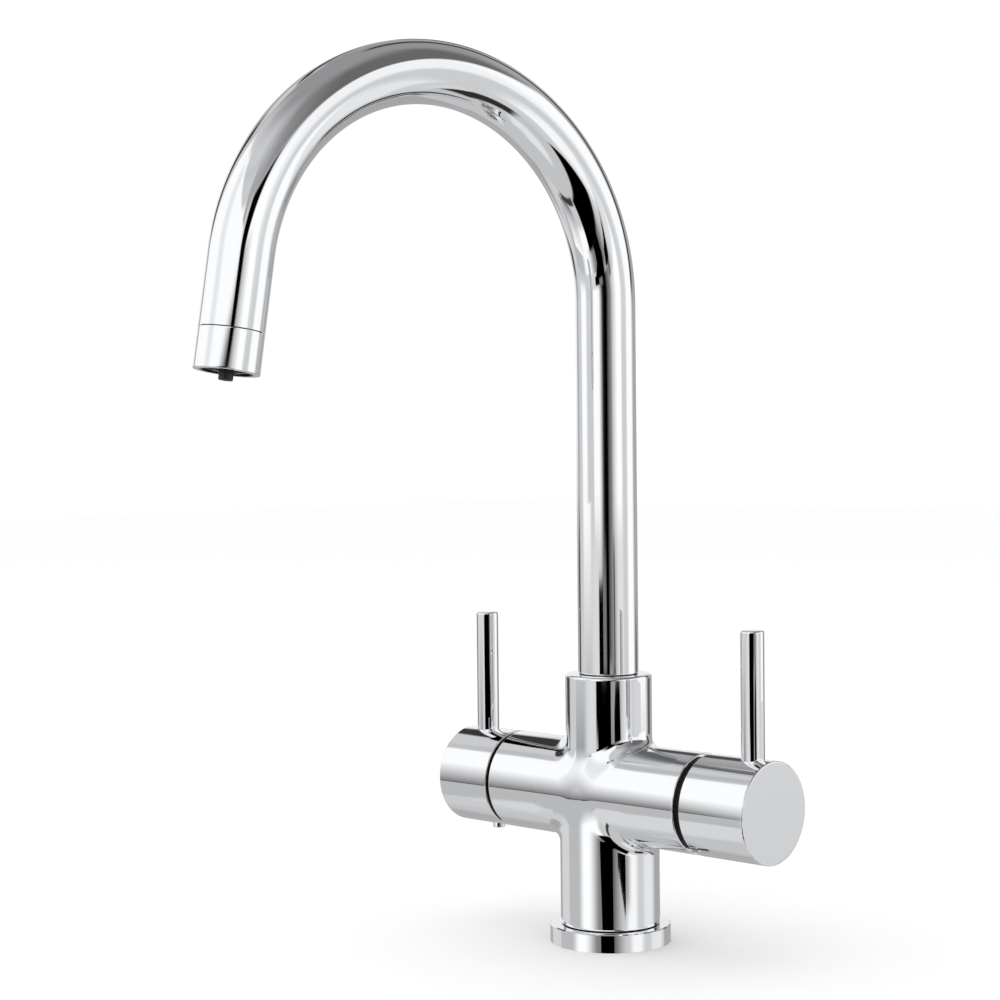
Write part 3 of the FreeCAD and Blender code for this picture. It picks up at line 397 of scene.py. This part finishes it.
spoke = np.linspace(1, 0, SPOKE_STEPS + 1)[1:, None]
arc = SHANK_SOCKET * np.stack([np.cos(third), np.sin(third)], -1)
outline = np.concatenate([arc, arc[-1] * spoke, arc[0] * spoke[::-1][1:], arc[:1]])
from_inlet = outline - (INLET_CIRCLE, 0)
inlet_rim = INLET_RADIUS * from_inlet / np.linalg.norm(from_inlet, axis=1)[:, None] + (INLET_CIRCLE, 0)
middle = np.broadcast_to((INLET_CIRCLE, 0), outline.shape)
inlet = np.array([
    np.column_stack([flat, np.full(len(flat), height)])
    for flat, height in (
        (outline, SHANK_FLOOR), (inlet_rim, SHANK_FLOOR), (inlet_rim, INLET_TOP), (middle, INLET_TOP)
    )
])
for inlet_turn in (math.pi, math.pi / 3, -math.pi / 3):
    cosine, sine = math.cos(inlet_turn), math.sin(inlet_turn)
    casting_grids.append(inlet @ np.array([[cosine, sine, 0], [-sine, cosine, 0], [0, 0, 1]]))
casting = skin_piece("body_skin", casting_grids, chrome, "tap_body")
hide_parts("body_casting")

# The foot's narrow step takes the near-black seam brass, a painted shade, so the seam over the base ring is a
# dark line.
centres = np.empty(3 * len(casting.data.polygons))
casting.data.polygons.foreach_get("center", centres)
casting.data.materials.append(painted_seam_shade)
casting.data.polygons.foreach_set("material_index", (centres[2::3] < FOOT + SEAM_MARGIN).astype(int))


# The spout is a brass tube bent on a mandrel into a swan neck, polished and plated, with a sleeve of the
# same width screwed on its end. The seam between them is a hairline, and a thin lip in the sleeve holds the
# outlet's insert.
SPOUT_TURN = math.radians(-8.9)
TUBE_FOOT = 0.1115
BEND_HEIGHT = 0.2643
BEND_RADIUS = 0.087
BEND_ANGLE = math.radians(170.9)
TUBE_RADIUS = 0.0125
TUBE_BORE = 0.011
TUBE_ROUND = 0.00025
TUBE_OUTLET = 0.0284
SLEEVE_OUTLET = 0.044
SLEEVE_LENGTH = 0.0153
SLEEVE_TOP_ROUND = 0.0002
SLEEVE_END_ROUND = 0.0004
SLEEVE_BORE = 0.01055
LIP_RADIUS = 0.0099
LIP_HEIGHT = 0.0012
RISER_START = 0.02
RISER_STEPS = 7
BEND_STEPS = 169
OUTLET_STEPS = 4
TUBE_TURN_STEPS = 144
RISER_LENGTH = BEND_HEIGHT - TUBE_FOOT
BEND_LENGTH = BEND_RADIUS * BEND_ANGLE
BEND_END = RISER_LENGTH + BEND_LENGTH
TUBE_LENGTH = BEND_END + TUBE_OUTLET
SPOUT_LENGTH = BEND_END + SLEEVE_OUTLET
SLEEVE_TOP = SPOUT_LENGTH - SLEEVE_LENGTH


def along_spout(profile):
    """Circles carried along the spout's centre line: straight up, round the bend, then straight down the
    outlet. The profile gives the distance along the line and the radius of each circle."""
    length, radius = np.array(profile).T[..., None]
    bent = np.clip((length - RISER_LENGTH) / BEND_LENGTH, 0, 1) * BEND_ANGLE
    straight = np.minimum(length - RISER_LENGTH, 0) + np.maximum(length - RISER_LENGTH - BEND_LENGTH, 0)
    forward = BEND_RADIUS * (1 - np.cos(bent)) + straight * np.sin(bent)
    upward = BEND_HEIGHT + BEND_RADIUS * np.sin(bent) + straight * np.cos(bent)
    turn = np.linspace(0, 2 * math.pi, TUBE_TURN_STEPS + 1)
    forward = forward + radius * np.sin(turn) * np.cos(bent)
    upward = upward - radius * np.sin(turn) * np.sin(bent)
    aside = radius * np.cos(turn)
    return np.stack([
        aside * math.cos(SPOUT_TURN) + forward * math.sin(SPOUT_TURN),
        aside * math.sin(SPOUT_TURN) - forward * math.cos(SPOUT_TURN),
        upward,
    ], -1)


run = np.concatenate([
    np.linspace(RISER_START, RISER_LENGTH, RISER_STEPS + 1),
    np.linspace(RISER_LENGTH, BEND_END, BEND_STEPS + 1)[1:],
    np.linspace(BEND_END, TUBE_LENGTH, OUTLET_STEPS + 1)[1:],
])
foot_round = [(along, radius) for radius, along in quarter_round(TUBE_RADIUS, 0, TUBE_ROUND, -1)[::-1]]
tube_profile = [
    *foot_round,
    *[(along, TUBE_RADIUS) for along in run],
    *[(along, TUBE_BORE) for along in (TUBE_LENGTH, *run[::-3], 0)],
    foot_round[0],
]
tube = skin_piece("swan_neck", [along_spout(tube_profile)], chrome, "spout")
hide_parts("spout_tube")

top_round = quarter_round(TUBE_RADIUS, SLEEVE_TOP, SLEEVE_TOP_ROUND, -1)[::-1]
end_round = quarter_round(TUBE_RADIUS, SPOUT_LENGTH, SLEEVE_END_ROUND, 1)
sleeve_profile = [
    *[(along, radius) for radius, along in top_round + end_round],
    (SPOUT_LENGTH, LIP_RADIUS), (SPOUT_LENGTH - LIP_HEIGHT, LIP_RADIUS),
    (SPOUT_LENGTH - LIP_HEIGHT, SLEEVE_BORE), (SLEEVE_TOP, SLEEVE_BORE), top_round[0][::-1],
]
sleeve = skin_piece("outlet_sleeve", [along_spout(sleeve_profile)], chrome, "spout")
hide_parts("aerator_sleeve")


# Each lever is a plain pin turned from brass bar, rounded at the top and plated. A stud under it screws
# down through the handle's hub.
LEVER_RADIUS = 0.0047
LEVER_TOP = 0.1332
LEVER_FOOT = 0.0702
LEVER_ROUND = 0.0008
STUD_RADIUS = 0.0025
LEFT_LEVER_PLACE = -0.0698
RIGHT_LEVER_PLACE = 0.0749
PIN_STEPS = 96
pin_turn = np.linspace(0, 2 * math.pi, PIN_STEPS + 1)
for side, aside in (("left", LEFT_LEVER_PLACE), ("right", RIGHT_LEVER_PLACE)):
    stud_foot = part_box(f"{side}_lever")[0][2]
    pin = turned_rows((np.sin(pin_turn), np.cos(pin_turn)), [
        (0, stud_foot), (STUD_RADIUS, stud_foot), (STUD_RADIUS, LEVER_FOOT), (LEVER_RADIUS, LEVER_FOOT),
        *quarter_round(LEVER_RADIUS, LEVER_TOP, LEVER_ROUND, 1), (0, LEVER_TOP),
    ])
    lever = skin_piece(f"{side}_pin", [pin + (aside, 0, 0)], chrome, f"{side}_handle_set")
    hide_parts(f"{side}_lever")


# Each valve turns one polished alumina disc on another. The discs are pressed, fired and lapped: dense,
# off-white and smooth, with the faintest speckle.
ALUMINA_SPECKLE = 0.0008
alumina, tree, shader, place = start_material("lapped_alumina", Roughness=0.12, IOR=1.76)
speckle = add_node(tree, "ShaderNodeTexNoise", Vector=place, Scale=1 / ALUMINA_SPECKLE, Detail=3.0)
tint = add_node(
    tree, "ShaderNodeMix", {"data_type": "RGBA"},
    _0=speckle.outputs["Fac"], _6=hex_to_linear("#E4E0D6"), _7=hex_to_linear("#F3F1EB"),
)
tree.links.new(tint.outputs[2], shader.inputs["Base Color"])
finish_nodes(alumina, "left_fixed_disc", "right_fixed_disc", "left_moving_disc", "right_moving_disc")


# Black acetal rings fill the gaps beside the handles and carry the spout, and the button's carrier is made
# of it too. It is moulded, satin and a little slippery, with a grain of about 0.5 mm.
ACETAL_GRAIN = 0.0005
acetal, tree, shader, place = start_material(
    "moulded_black_acetal",
    Base_Color=hex_to_linear("#08080A"), Roughness=0.5, IOR=1.48, Specular_IOR_Level=0.25,
)
grain = add_node(tree, "ShaderNodeTexNoise", Vector=place, Scale=1 / ACETAL_GRAIN, Detail=2.0)
dull = add_node(tree, "ShaderNodeMapRange", Value=grain.outputs["Fac"], To_Min=0.42, To_Max=0.58)
tree.links.new(dull.outputs["Result"], shader.inputs["Roughness"])
finish_nodes(acetal, "left_glide_ring", "right_glide_ring", "spout_washer", "button_carrier")


# The button's spring is a coil of stainless wire between the button's flange and the carrier's seat. It is
# built once, at the size of the model's spring, and doesn't shorten here as the button goes in.
SPRING_TURNS = 3
SPRING_STEPS = 48 * SPRING_TURNS
WIRE_RADIUS = 0.00025
WIRE_STEPS = 16
WIRE_LINE = 0.0002


def coil_rows(radius, low, high):
    """Rows of a wire that climbs evenly as it goes round: at each turn angle, a circle across the wire's
    course. The first and the last circle shrink to a point, which closes the ends."""
    turn = np.linspace(0, 2 * math.pi * SPRING_TURNS, SPRING_STEPS + 1)
    turn = np.pad(turn, 1, mode="edge")[:, None]
    thick = np.pad(np.full(SPRING_STEPS + 1, WIRE_RADIUS), 1)[:, None]
    around = np.linspace(0, 2 * math.pi, WIRE_STEPS + 1)
    slope = math.atan2(high - low, 2 * math.pi * SPRING_TURNS * radius)
    outward, upward = radius + thick * np.cos(around), thick * np.sin(around)
    return np.stack([
        outward * np.cos(turn) + upward * math.sin(slope) * np.sin(turn),
        outward * np.sin(turn) - upward * math.sin(slope) * np.cos(turn),
        low + (high - low) * turn / turn[-1] + upward * math.cos(slope),
    ], -1)


# Drawn stainless wire: grey and bright, with faint lines from the die.
spring_wire, tree, shader, place = start_material(
    "drawn_stainless_wire", Base_Color=hex_to_linear("#A6A9AE"), Metallic=1.0, Roughness=0.25
)
lines = add_node(tree, "ShaderNodeTexNoise", Vector=place, Scale=1 / WIRE_LINE, Detail=2.0)
dull = add_node(tree, "ShaderNodeMapRange", Value=lines.outputs["Fac"], To_Min=0.2, To_Max=0.36)
tree.links.new(dull.outputs["Result"], shader.inputs["Roughness"])
spring_low, spring_high = np.array(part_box("button_spring"))
spring_middle = (spring_low + spring_high) / 2 * (1, 1, 0)
spring_radius = (spring_high - spring_low)[0] / 2 - WIRE_RADIUS
coil = coil_rows(spring_radius, spring_low[2] + WIRE_RADIUS, spring_high[2] - WIRE_RADIUS)
spring = skin_piece("button_coil", [coil + spring_middle], spring_wire, "left_handle_set")
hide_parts("button_spring")
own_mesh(spring)


# The filtered water has a tube of its own up the spout, extruded from clear food-grade plastic. It is
# glossy and lets the light through, with a slight unevenness every 2 mm or so from the die.
TUBING_CLOUD = 0.002
clear_tubing, tree, shader, place = start_material(
    "extruded_clear_tubing",
    Base_Color=hex_to_linear("#E9EEF0"), Roughness=0.12, IOR=1.5, Transmission_Weight=0.85,
)
draw = add_node(tree, "ShaderNodeTexNoise", Vector=place, Scale=1 / TUBING_CLOUD, Detail=2.0)
dull = add_node(tree, "ShaderNodeMapRange", Value=draw.outputs["Fac"], To_Min=0.08, To_Max=0.18)
tree.links.new(dull.outputs["Result"], shader.inputs["Roughness"])
finish_nodes(clear_tubing, "filter_tube")


# The outlet's insert, mesh and nozzle are moulded in a dark plastic and sit in the sleeve, held by its lip.
# The plastic is satin, with a grain of about 0.4 mm.
PLASTIC_GRAIN = 0.0004
dark_plastic, tree, shader, place = start_material(
    "moulded_dark_plastic", Base_Color=hex_to_linear("#1C1C1F"), Roughness=0.4, IOR=1.5
)
grain = add_node(tree, "ShaderNodeTexNoise", Vector=place, Scale=1 / PLASTIC_GRAIN, Detail=2.0)
dull = add_node(tree, "ShaderNodeMapRange", Value=grain.outputs["Fac"], To_Min=0.32, To_Max=0.5)
tree.links.new(dull.outputs["Result"], shader.inputs["Roughness"])
finish_nodes(dark_plastic, "aerator_housing", "aerator_mesh", "outlet_nozzle")


# The studio is a white light tent: long soft boxes at the sides, a grey roof, and a gap in front for the
# lens. Only mirrored rays see its panels; the camera sees plain white, and matt surfaces are lit evenly.
CAMERA_TURN = math.radians(43.985)
CLOTH_LEVEL = 0.42
PLAIN_LEVEL = 1.05
WIDE_EDGE = 35
ALL_ROUND = 400
world = bpy.data.worlds.new("light_tent")
bpy.context.scene.world = world
world.use_nodes = True
tent_tree = world.node_tree
tent_tree.nodes.clear()
sight = add_node(tent_tree, "ShaderNodeTexCoord").outputs["Generated"]
ahead = add_node(
    tent_tree, "ShaderNodeVectorRotate", {"rotation_type": "Z_AXIS"},
    Vector=sight, Angle=math.pi / 2 - CAMERA_TURN,
)
parts = add_node(tent_tree, "ShaderNodeSeparateXYZ", Vector=ahead.outputs[0])
swing = add_node(
    tent_tree, "ShaderNodeMath", {"operation": "ARCTAN2"}, _0=parts.outputs["Y"], _1=parts.outputs["X"]
)
lift = add_node(tent_tree, "ShaderNodeMath", {"operation": "ARCSINE"}, _0=parts.outputs["Z"])
sight_turn, sight_rise = (
    add_node(tent_tree, "ShaderNodeMath", {"operation": "DEGREES"}, _0=angle.outputs[0]).outputs[0]
    for angle in (swing, lift)
)


def soft_edge(source, where, soft, rising):
    """From 0 to 1 as an angle passes a value, or from 1 to 0, over a soft width; the widest ones run
    straight."""
    ends = (0.0, 1.0) if rising else (1.0, 0.0)
    return add_node(
        tent_tree, "ShaderNodeMapRange",
        {"interpolation_type": "LINEAR" if soft > WIDE_EDGE else "SMOOTHSTEP"},
        _0=source, _1=where - soft / 2, _2=where + soft / 2, _3=ends[0], _4=ends[1],
    ).outputs[0]


def side_edge(where, low, high, soft, rising):
    """A panel's side: upright at one angle, or leaning from one at its lower end to another at its upper
    end."""
    if isinstance(where, (int, float)):
        return soft_edge(sight_turn, where, soft, rising)
    line = add_node(
        tent_tree, "ShaderNodeMapRange", {"clamp": False},
        _0=sight_rise, _1=low, _2=high, _3=where[0], _4=where[1],
    )
    beside = add_node(
        tent_tree, "ShaderNodeMath", {"operation": "SUBTRACT"}, _0=sight_turn, _1=line.outputs[0]
    )
    return soft_edge(beside.outputs[0], 0.0, soft, rising)


def hang_panel(level, bright, left, right, low, high, sides=(4, 4), ends=(4, 4)):
    """The tent's level with one more panel in front of the earlier ones: its brightness, the angles that it
    hangs between, counted from the lens, and the soft widths of its sides and ends. Its cover is its edges'
    product."""
    edges = (
        side_edge(left, low, high, sides[0], True), side_edge(right, low, high, sides[1], False),
        soft_edge(sight_rise, low, ends[0], True), soft_edge(sight_rise, high, ends[1], False),
    )
    cover = 1.0
    for edge in edges:
        cover = add_node(tent_tree, "ShaderNodeMath", {"operation": "MULTIPLY"}, _0=cover, _1=edge).outputs[0]
    mix = add_node(tent_tree, "ShaderNodeMix", {"data_type": "FLOAT"}, _0=cover, _2=level, _3=bright)
    return mix.outputs[0]


# Roof and floor of the tent; the roof is darkest over the right shoulder.
level = CLOTH_LEVEL
level = hang_panel(level, 0.32, -ALL_ROUND, ALL_ROUND, 44, ALL_ROUND, ends=(16, 1))
level = hang_panel(level, 0.66, -115, 4, 40, 64, sides=(24, 40), ends=(16, 26))
level = hang_panel(level, 0.15, 32, 112, 27, 66, sides=(44, 30), ends=(12, 24))
level = hang_panel(level, 0.66, -156, -118, 40, 56, sides=(8, 16), ends=(6, 6))
level = hang_panel(level, 0.60, -ALL_ROUND, ALL_ROUND, -ALL_ROUND, -44, ends=(1, 4))
level = hang_panel(level, 0.85, -35, 60, -82, -64, sides=(20, 20), ends=(8, 8))
# Left wall: one tall box whose top slopes down to the lens, and lower boxes with a seam of cloth between
# them.
level = hang_panel(level, 0.66, -128, -4, -46, 42, sides=(6, 6), ends=(4, 8))
level = hang_panel(level, 1.08, (-132, -104), (34, -62), 6, 50, sides=(6, 6), ends=(10, 5))
level = hang_panel(level, 0.90, -76, -56, 8, 46, sides=(14, 14), ends=(10, 8))
level = hang_panel(level, 1.10, -106, -80, -4, 41, sides=(10, 12), ends=(7, 6))
level = hang_panel(level, 1.10, -51, -4, -2.8, 28, sides=(6, 6), ends=(3, 6))
level = hang_panel(level, 0.34, -58.5, -53, 1.5, 6, sides=(2, 2), ends=(2, 2))
level = hang_panel(level, 0.72, -150, -106, -20, -8.5, sides=(8, 6), ends=(6, 2))
level = hang_panel(level, 0.54, -112, -78, -36, -9.5, sides=(6, 6), ends=(1, 2))
level = hang_panel(level, 0.74, (-116, -87), -70, -46, -24, sides=(3, 6), ends=(6, 1))
level = hang_panel(level, 0.78, -64, -38, -9.5, -3, sides=(24, 6), ends=(2, 2))
level = hang_panel(level, 1.12, -71, -30, -32, -9.5, sides=(14, 4), ends=(6, 2))
level = hang_panel(level, 0.24, -40, 2, -22, -9.5, sides=(30, 2), ends=(2, 2))
# Right wall with its soft boxes.
level = hang_panel(level, 0.68, 4, 121, -46, 26, sides=(6, 6), ends=(4, 8))
level = hang_panel(level, 1.00, (-7, 74), 119, 6, 33, sides=(10, 6), ends=(10, 5))
level = hang_panel(level, 1.12, 20, 59, -3, 19, sides=(8, 10), ends=(3, 8))
level = hang_panel(level, 0.83, 30, 60, -10, -3, sides=(12, 10), ends=(2, 2))
level = hang_panel(level, 1.04, 38, 62, -32, -10, sides=(12, 14), ends=(6, 2))
level = hang_panel(level, 1.10, 82, 114, -8, 31, sides=(10, 10), ends=(4, 4))
level = hang_panel(level, 0.88, 82, 112, -32, -8, sides=(12, 10), ends=(6, 4))
# Gap for the lens between its shaded curtains, with black flags over and under it.
level = hang_panel(level, 0.01, -21, 21, -9.5, 13, sides=(20, 40), ends=(2, 4))
level = hang_panel(level, 0.10, 2, 16, -22, -9.5, sides=(2, 34), ends=(2, 2))
level = hang_panel(level, 0.32, 2.5, 12, -9.5, -6.2, sides=(3, 1), ends=(1, 1))
level = hang_panel(level, 0.0, -7.5, 2, -27, 11, sides=(2, 3), ends=(2, 2))
level = hang_panel(level, 0.0, (2, 14), (15, 44), 10, 26.5, sides=(3, 6), ends=(2, 3))
level = hang_panel(level, 0.0, -40, 33, -46, -20, sides=(3, 3), ends=(3, 3))
level = hang_panel(level, 0.0, -36, -20, -8, -4, sides=(1, 2), ends=(1, 0.6))
level = hang_panel(level, 0.20, -18, -8, -6.5, -3.4, sides=(5, 5), ends=(0.6, 2))
level = hang_panel(level, 0.0, (-19, -35), (4.5, 3), -14, -6.4, sides=(1, 1), ends=(1, 0.6))
level = hang_panel(level, 0.0, -21, 3, -21, -13, sides=(2, 1), ends=(1, 1))
level = hang_panel(level, 0.10, 20, 25, -6.6, -3, sides=(2, 2), ends=(1, 1))
level = hang_panel(level, 0.38, 31, 43, -12.2, -9.5, sides=(2, 16), ends=(0.6, 1))
level = hang_panel(level, 0.0, (15, 11), (33.5, 26.5), -11.3, -6.4, sides=(1, 1), ends=(0.2, 0.8))
level = hang_panel(level, 0.36, 4, (10.5, 17), -7.7, -6.2, sides=(3, 1), ends=(0.6, 0.6))
level = hang_panel(level, 0.0, (31, 15), 33.5, -12.4, -11.1, sides=(1, 1), ends=(0.2, 0.2))
# Dark joints of the tent on the left and right, edges under the boxes, and a pale sheet at the back in its
# frame.
level = hang_panel(level, 0.05, (-142, -138), (-131, -124), 13, 41, sides=(4, 4), ends=(4, 4))
level = hang_panel(level, 0.04, (-177, -150), (-170, -141), 29, 53, sides=(3, 3), ends=(4, 3))
level = hang_panel(level, 0.06, (112, 170), (124, 188), 4, 66, sides=(5, 8), ends=(4, 6))
level = hang_panel(level, 0.08, 118, 126, -66, -16, sides=(3, 4), ends=(4, 4))
level = hang_panel(level, 0.05, -90, -44, -48, -43.5, sides=(8, 4), ends=(2, 2))
level = hang_panel(level, 0.03, 54, 100, -61, -46, sides=(8, 8), ends=(4, 4))
level = hang_panel(level, 0.95, -ALL_ROUND, -142, -2, 26, sides=(1, 8), ends=(6, 8))
level = hang_panel(level, 0.90, 160, ALL_ROUND, -2, 24, sides=(12, 1), ends=(8, 8))
level = hang_panel(level, 0.08, 170, ALL_ROUND, 16, 31, sides=(6, 1), ends=(8, 5))
level = hang_panel(level, 0.08, -ALL_ROUND, -177.5, 22, 31, sides=(1, 2), ends=(6, 3))
level = hang_panel(level, 0.45, -ALL_ROUND, -148, -50, -12, sides=(1, 20), ends=(6, 6))
level = hang_panel(level, 0.08, -144, -130, -9.5, -2.5, sides=(4, 4), ends=(2, 2))
level = hang_panel(level, 0.12, 125, 140, -9.5, -5, sides=(4, 4), ends=(2, 2))

path = add_node(tent_tree, "ShaderNodeLightPath")
mirrored = add_node(
    tent_tree, "ShaderNodeMath", {"operation": "MAXIMUM"},
    _0=path.outputs["Is Glossy Ray"], _1=path.outputs["Is Transmission Ray"],
)
tent = add_node(tent_tree, "ShaderNodeBackground", Color=(1, 1, 1, 1), Strength=level)
plain = add_node(tent_tree, "ShaderNodeBackground", Color=(1, 1, 1, 1), Strength=PLAIN_LEVEL)
seen = add_node(
    tent_tree, "ShaderNodeMixShader", _0=mirrored.outputs[0], _1=plain.outputs[0], _2=tent.outputs[0]
)
add_node(tent_tree, "ShaderNodeOutputWorld", Surface=seen.outputs[0])


# Close to the tap stands a low white card on either side, the left one with a dark hem, and a narrow black
# flag in front of each lever. They show only to mirrored rays, and the cards glow more towards the top.
FLAG_FOOT = 0.087
FLAG_FADE = 0.0004
TENT_AXES = np.array([
    [math.cos(CAMERA_TURN), math.sin(CAMERA_TURN), 0.0],
    [math.sin(CAMERA_TURN), -math.cos(CAMERA_TURN), 0.0],
    [0.0, 0.0, 1.0],
])


def stand_card(name, start, stop, foot, top, dim, bright, fades):
    """An upright card from one place to another, each given aside and towards the lens; its glow rises with
    its height. Each end fades out over a length."""
    start, stop = np.array(start), np.array(stop)
    line = (stop - start) / np.linalg.norm(stop - start)
    corners = [(*start, foot), (*stop, foot), (*stop, top), (*start, top)]
    mesh = bpy.data.meshes.new(name)
    mesh.from_pydata((np.array(corners) @ TENT_AXES).tolist(), [], [(0, 1, 2, 3)])
    card = bpy.data.objects.new(name, mesh)
    bpy.context.collection.objects.link(card)
    cloth = bpy.data.materials.new(name)
    cloth.use_nodes = True
    tree = cloth.node_tree
    tree.nodes.clear()
    place = add_node(tree, "ShaderNodeTexCoord").outputs["Object"]
    height = add_node(tree, "ShaderNodeSeparateXYZ", Vector=place)
    along = add_node(
        tree, "ShaderNodeVectorMath", {"operation": "DOT_PRODUCT"}, _0=place, _1=line @ TENT_AXES[:2]
    ).outputs["Value"]
    ramp = add_node(tree, "ShaderNodeMapRange", _0=height.outputs["Z"], _1=foot, _2=top, _3=dim, _4=bright)
    near, far = start @ line, stop @ line
    begin = add_node(tree, "ShaderNodeMapRange", _0=along, _1=near, _2=near + fades[0])
    end = add_node(tree, "ShaderNodeMapRange", _0=along, _1=far, _2=far - fades[1])
    cover = add_node(
        tree, "ShaderNodeMath", {"operation": "MULTIPLY"}, _0=begin.outputs[0], _1=end.outputs[0]
    )
    glow = add_node(tree, "ShaderNodeEmission", Color=(1, 1, 1, 1), Strength=ramp.outputs[0])
    clear = add_node(tree, "ShaderNodeBsdfTransparent")
    cut = add_node(
        tree, "ShaderNodeMixShader", _0=cover.outputs[0], _1=clear.outputs[0], _2=glow.outputs[0]
    )
    add_node(tree, "ShaderNodeOutputMaterial", Surface=cut.outputs[0])
    mesh.materials.append(cloth)
    card.visible_camera = False
    card.visible_diffuse = False
    card.visible_shadow = False


stand_card(
    "low_left_card", start=(-0.34, -0.052), stop=(-0.34, 0.19), foot=-0.0015, top=0.170,
    dim=0.213, bright=1.10, fades=(0.01, 0.09),
)
stand_card(
    "left_card_hem", start=(-0.34, -0.052), stop=(-0.34, 0.19), foot=-0.0065, top=-0.0015,
    dim=0.01, bright=0.06, fades=(0.01, 0.09),
)
stand_card(
    "low_right_card", start=(0.262, 0.0), stop=(0.262, 0.12), foot=-0.002, top=0.08,
    dim=0.70, bright=0.74, fades=(0.01, 0.01),
)
stand_card(
    "left_lever_flag", start=(-0.0539, -0.040), stop=(-0.0480, -0.040), foot=FLAG_FOOT, top=LEVER_TOP,
    dim=0.0, bright=0.0, fades=(FLAG_FADE, FLAG_FADE),
)
stand_card(
    "right_lever_flag", start=(0.0502, 0.060), stop=(0.0542, 0.060), foot=FLAG_FOOT, top=LEVER_TOP,
    dim=0.0, bright=0.0, fades=(FLAG_FADE, FLAG_FADE),
)

# Mirrored rays don't see the floor, so the fixing under it is hidden from them here.
for name in ("mounting_shank", "deck_gasket", "deck_washer", "back_nut"):
    frame["nodes"][name].visible_glossy = False


# The floor is a plain sheet of pale paper at the worktop's height, which takes the tap's shadow and hides
# the fixing. The paper is matt, with a slight unevenness every 20 mm or so.
FLOOR_REACH = 4.0
PAPER_CLOUD = 0.02
corners = FLOOR_REACH * np.array([(-1, -1, 0), (1, -1, 0), (1, 1, 0), (-1, 1, 0)])
sheet = bpy.data.meshes.new("pale_floor")
sheet.from_pydata(corners.tolist(), [], [(0, 1, 2, 3)])
floor = bpy.data.objects.new("pale_floor", sheet)
bpy.context.collection.objects.link(floor)
paper, tree, shader, place = start_material(
    "matt_white_paper", Base_Color=hex_to_linear("#FBFBFB"), Roughness=0.9
)
fibre = add_node(tree, "ShaderNodeTexNoise", Vector=place, Scale=1 / PAPER_CLOUD, Detail=2.0)
tint = add_node(
    tree, "ShaderNodeMix", {"data_type": "RGBA"},
    _0=fibre.outputs["Fac"], _6=hex_to_linear("#FAFAFA"), _7=hex_to_linear("#FDFDFD"),
)
tree.links.new(tint.outputs[2], shader.inputs["Base Color"])
sheet.materials.append(paper)
floor.visible_glossy = False


# One wide lamp over the left shoulder gives the floor its soft shadow. It is a round cloth screen, and the
# tap doesn't mirror it.
LAMP_SIZE = 2.2
LAMP_POWER = 4.0
LAMP_PLACE = (-0.6, -0.7, 1.6)
LAMP_TILT = (0.4, -0.35, 0.0)
lamp_data = bpy.data.lights.new("soft_lamp", "AREA")
lamp_data.shape = "DISK"
lamp_data.size = LAMP_SIZE
lamp_data.energy = LAMP_POWER
lamp = bpy.data.objects.new("soft_lamp", lamp_data)
bpy.context.collection.objects.link(lamp)
lamp.location = LAMP_PLACE
lamp.rotation_euler = LAMP_TILT
lamp.visible_glossy = False


# The camera stands where the photograph was taken from, a little above the tap's middle. It has a long lens
# and is turned a little on its own axis.
CAMERA_PITCH = math.radians(1.900)
CAMERA_ROLL = math.radians(-0.585)
EYE_DISTANCE = 0.9273
EYE_HEIGHT = 0.2142
EYE_LEFT = 0.0442
LENS_LENGTH = 80.78
SENSOR_WIDTH = 36.0
back = np.array([
    math.sin(CAMERA_TURN) * math.cos(CAMERA_PITCH), -math.cos(CAMERA_TURN) * math.cos(CAMERA_PITCH),
    math.sin(CAMERA_PITCH),
])
level_right = np.array([math.cos(CAMERA_TURN), math.sin(CAMERA_TURN), 0.0])
level_up = np.cross(back, level_right)
right = level_right * math.cos(CAMERA_ROLL) + level_up * math.sin(CAMERA_ROLL)
up = level_up * math.cos(CAMERA_ROLL) - level_right * math.sin(CAMERA_ROLL)
eye = np.array([math.sin(CAMERA_TURN) * EYE_DISTANCE, -math.cos(CAMERA_TURN) * EYE_DISTANCE, EYE_HEIGHT])
eye -= level_right * EYE_LEFT
camera_data = bpy.data.cameras.new("long_lens")
camera_data.lens = LENS_LENGTH
camera_data.sensor_width = SENSOR_WIDTH
camera = bpy.data.objects.new("long_lens", camera_data)
bpy.context.collection.objects.link(camera)
camera.matrix_world = Matrix([*np.column_stack([right, up, back, eye]).tolist(), [0, 0, 0, 1]])
bpy.context.scene.camera = camera
bpy.context.scene.view_settings.view_transform = "Standard"
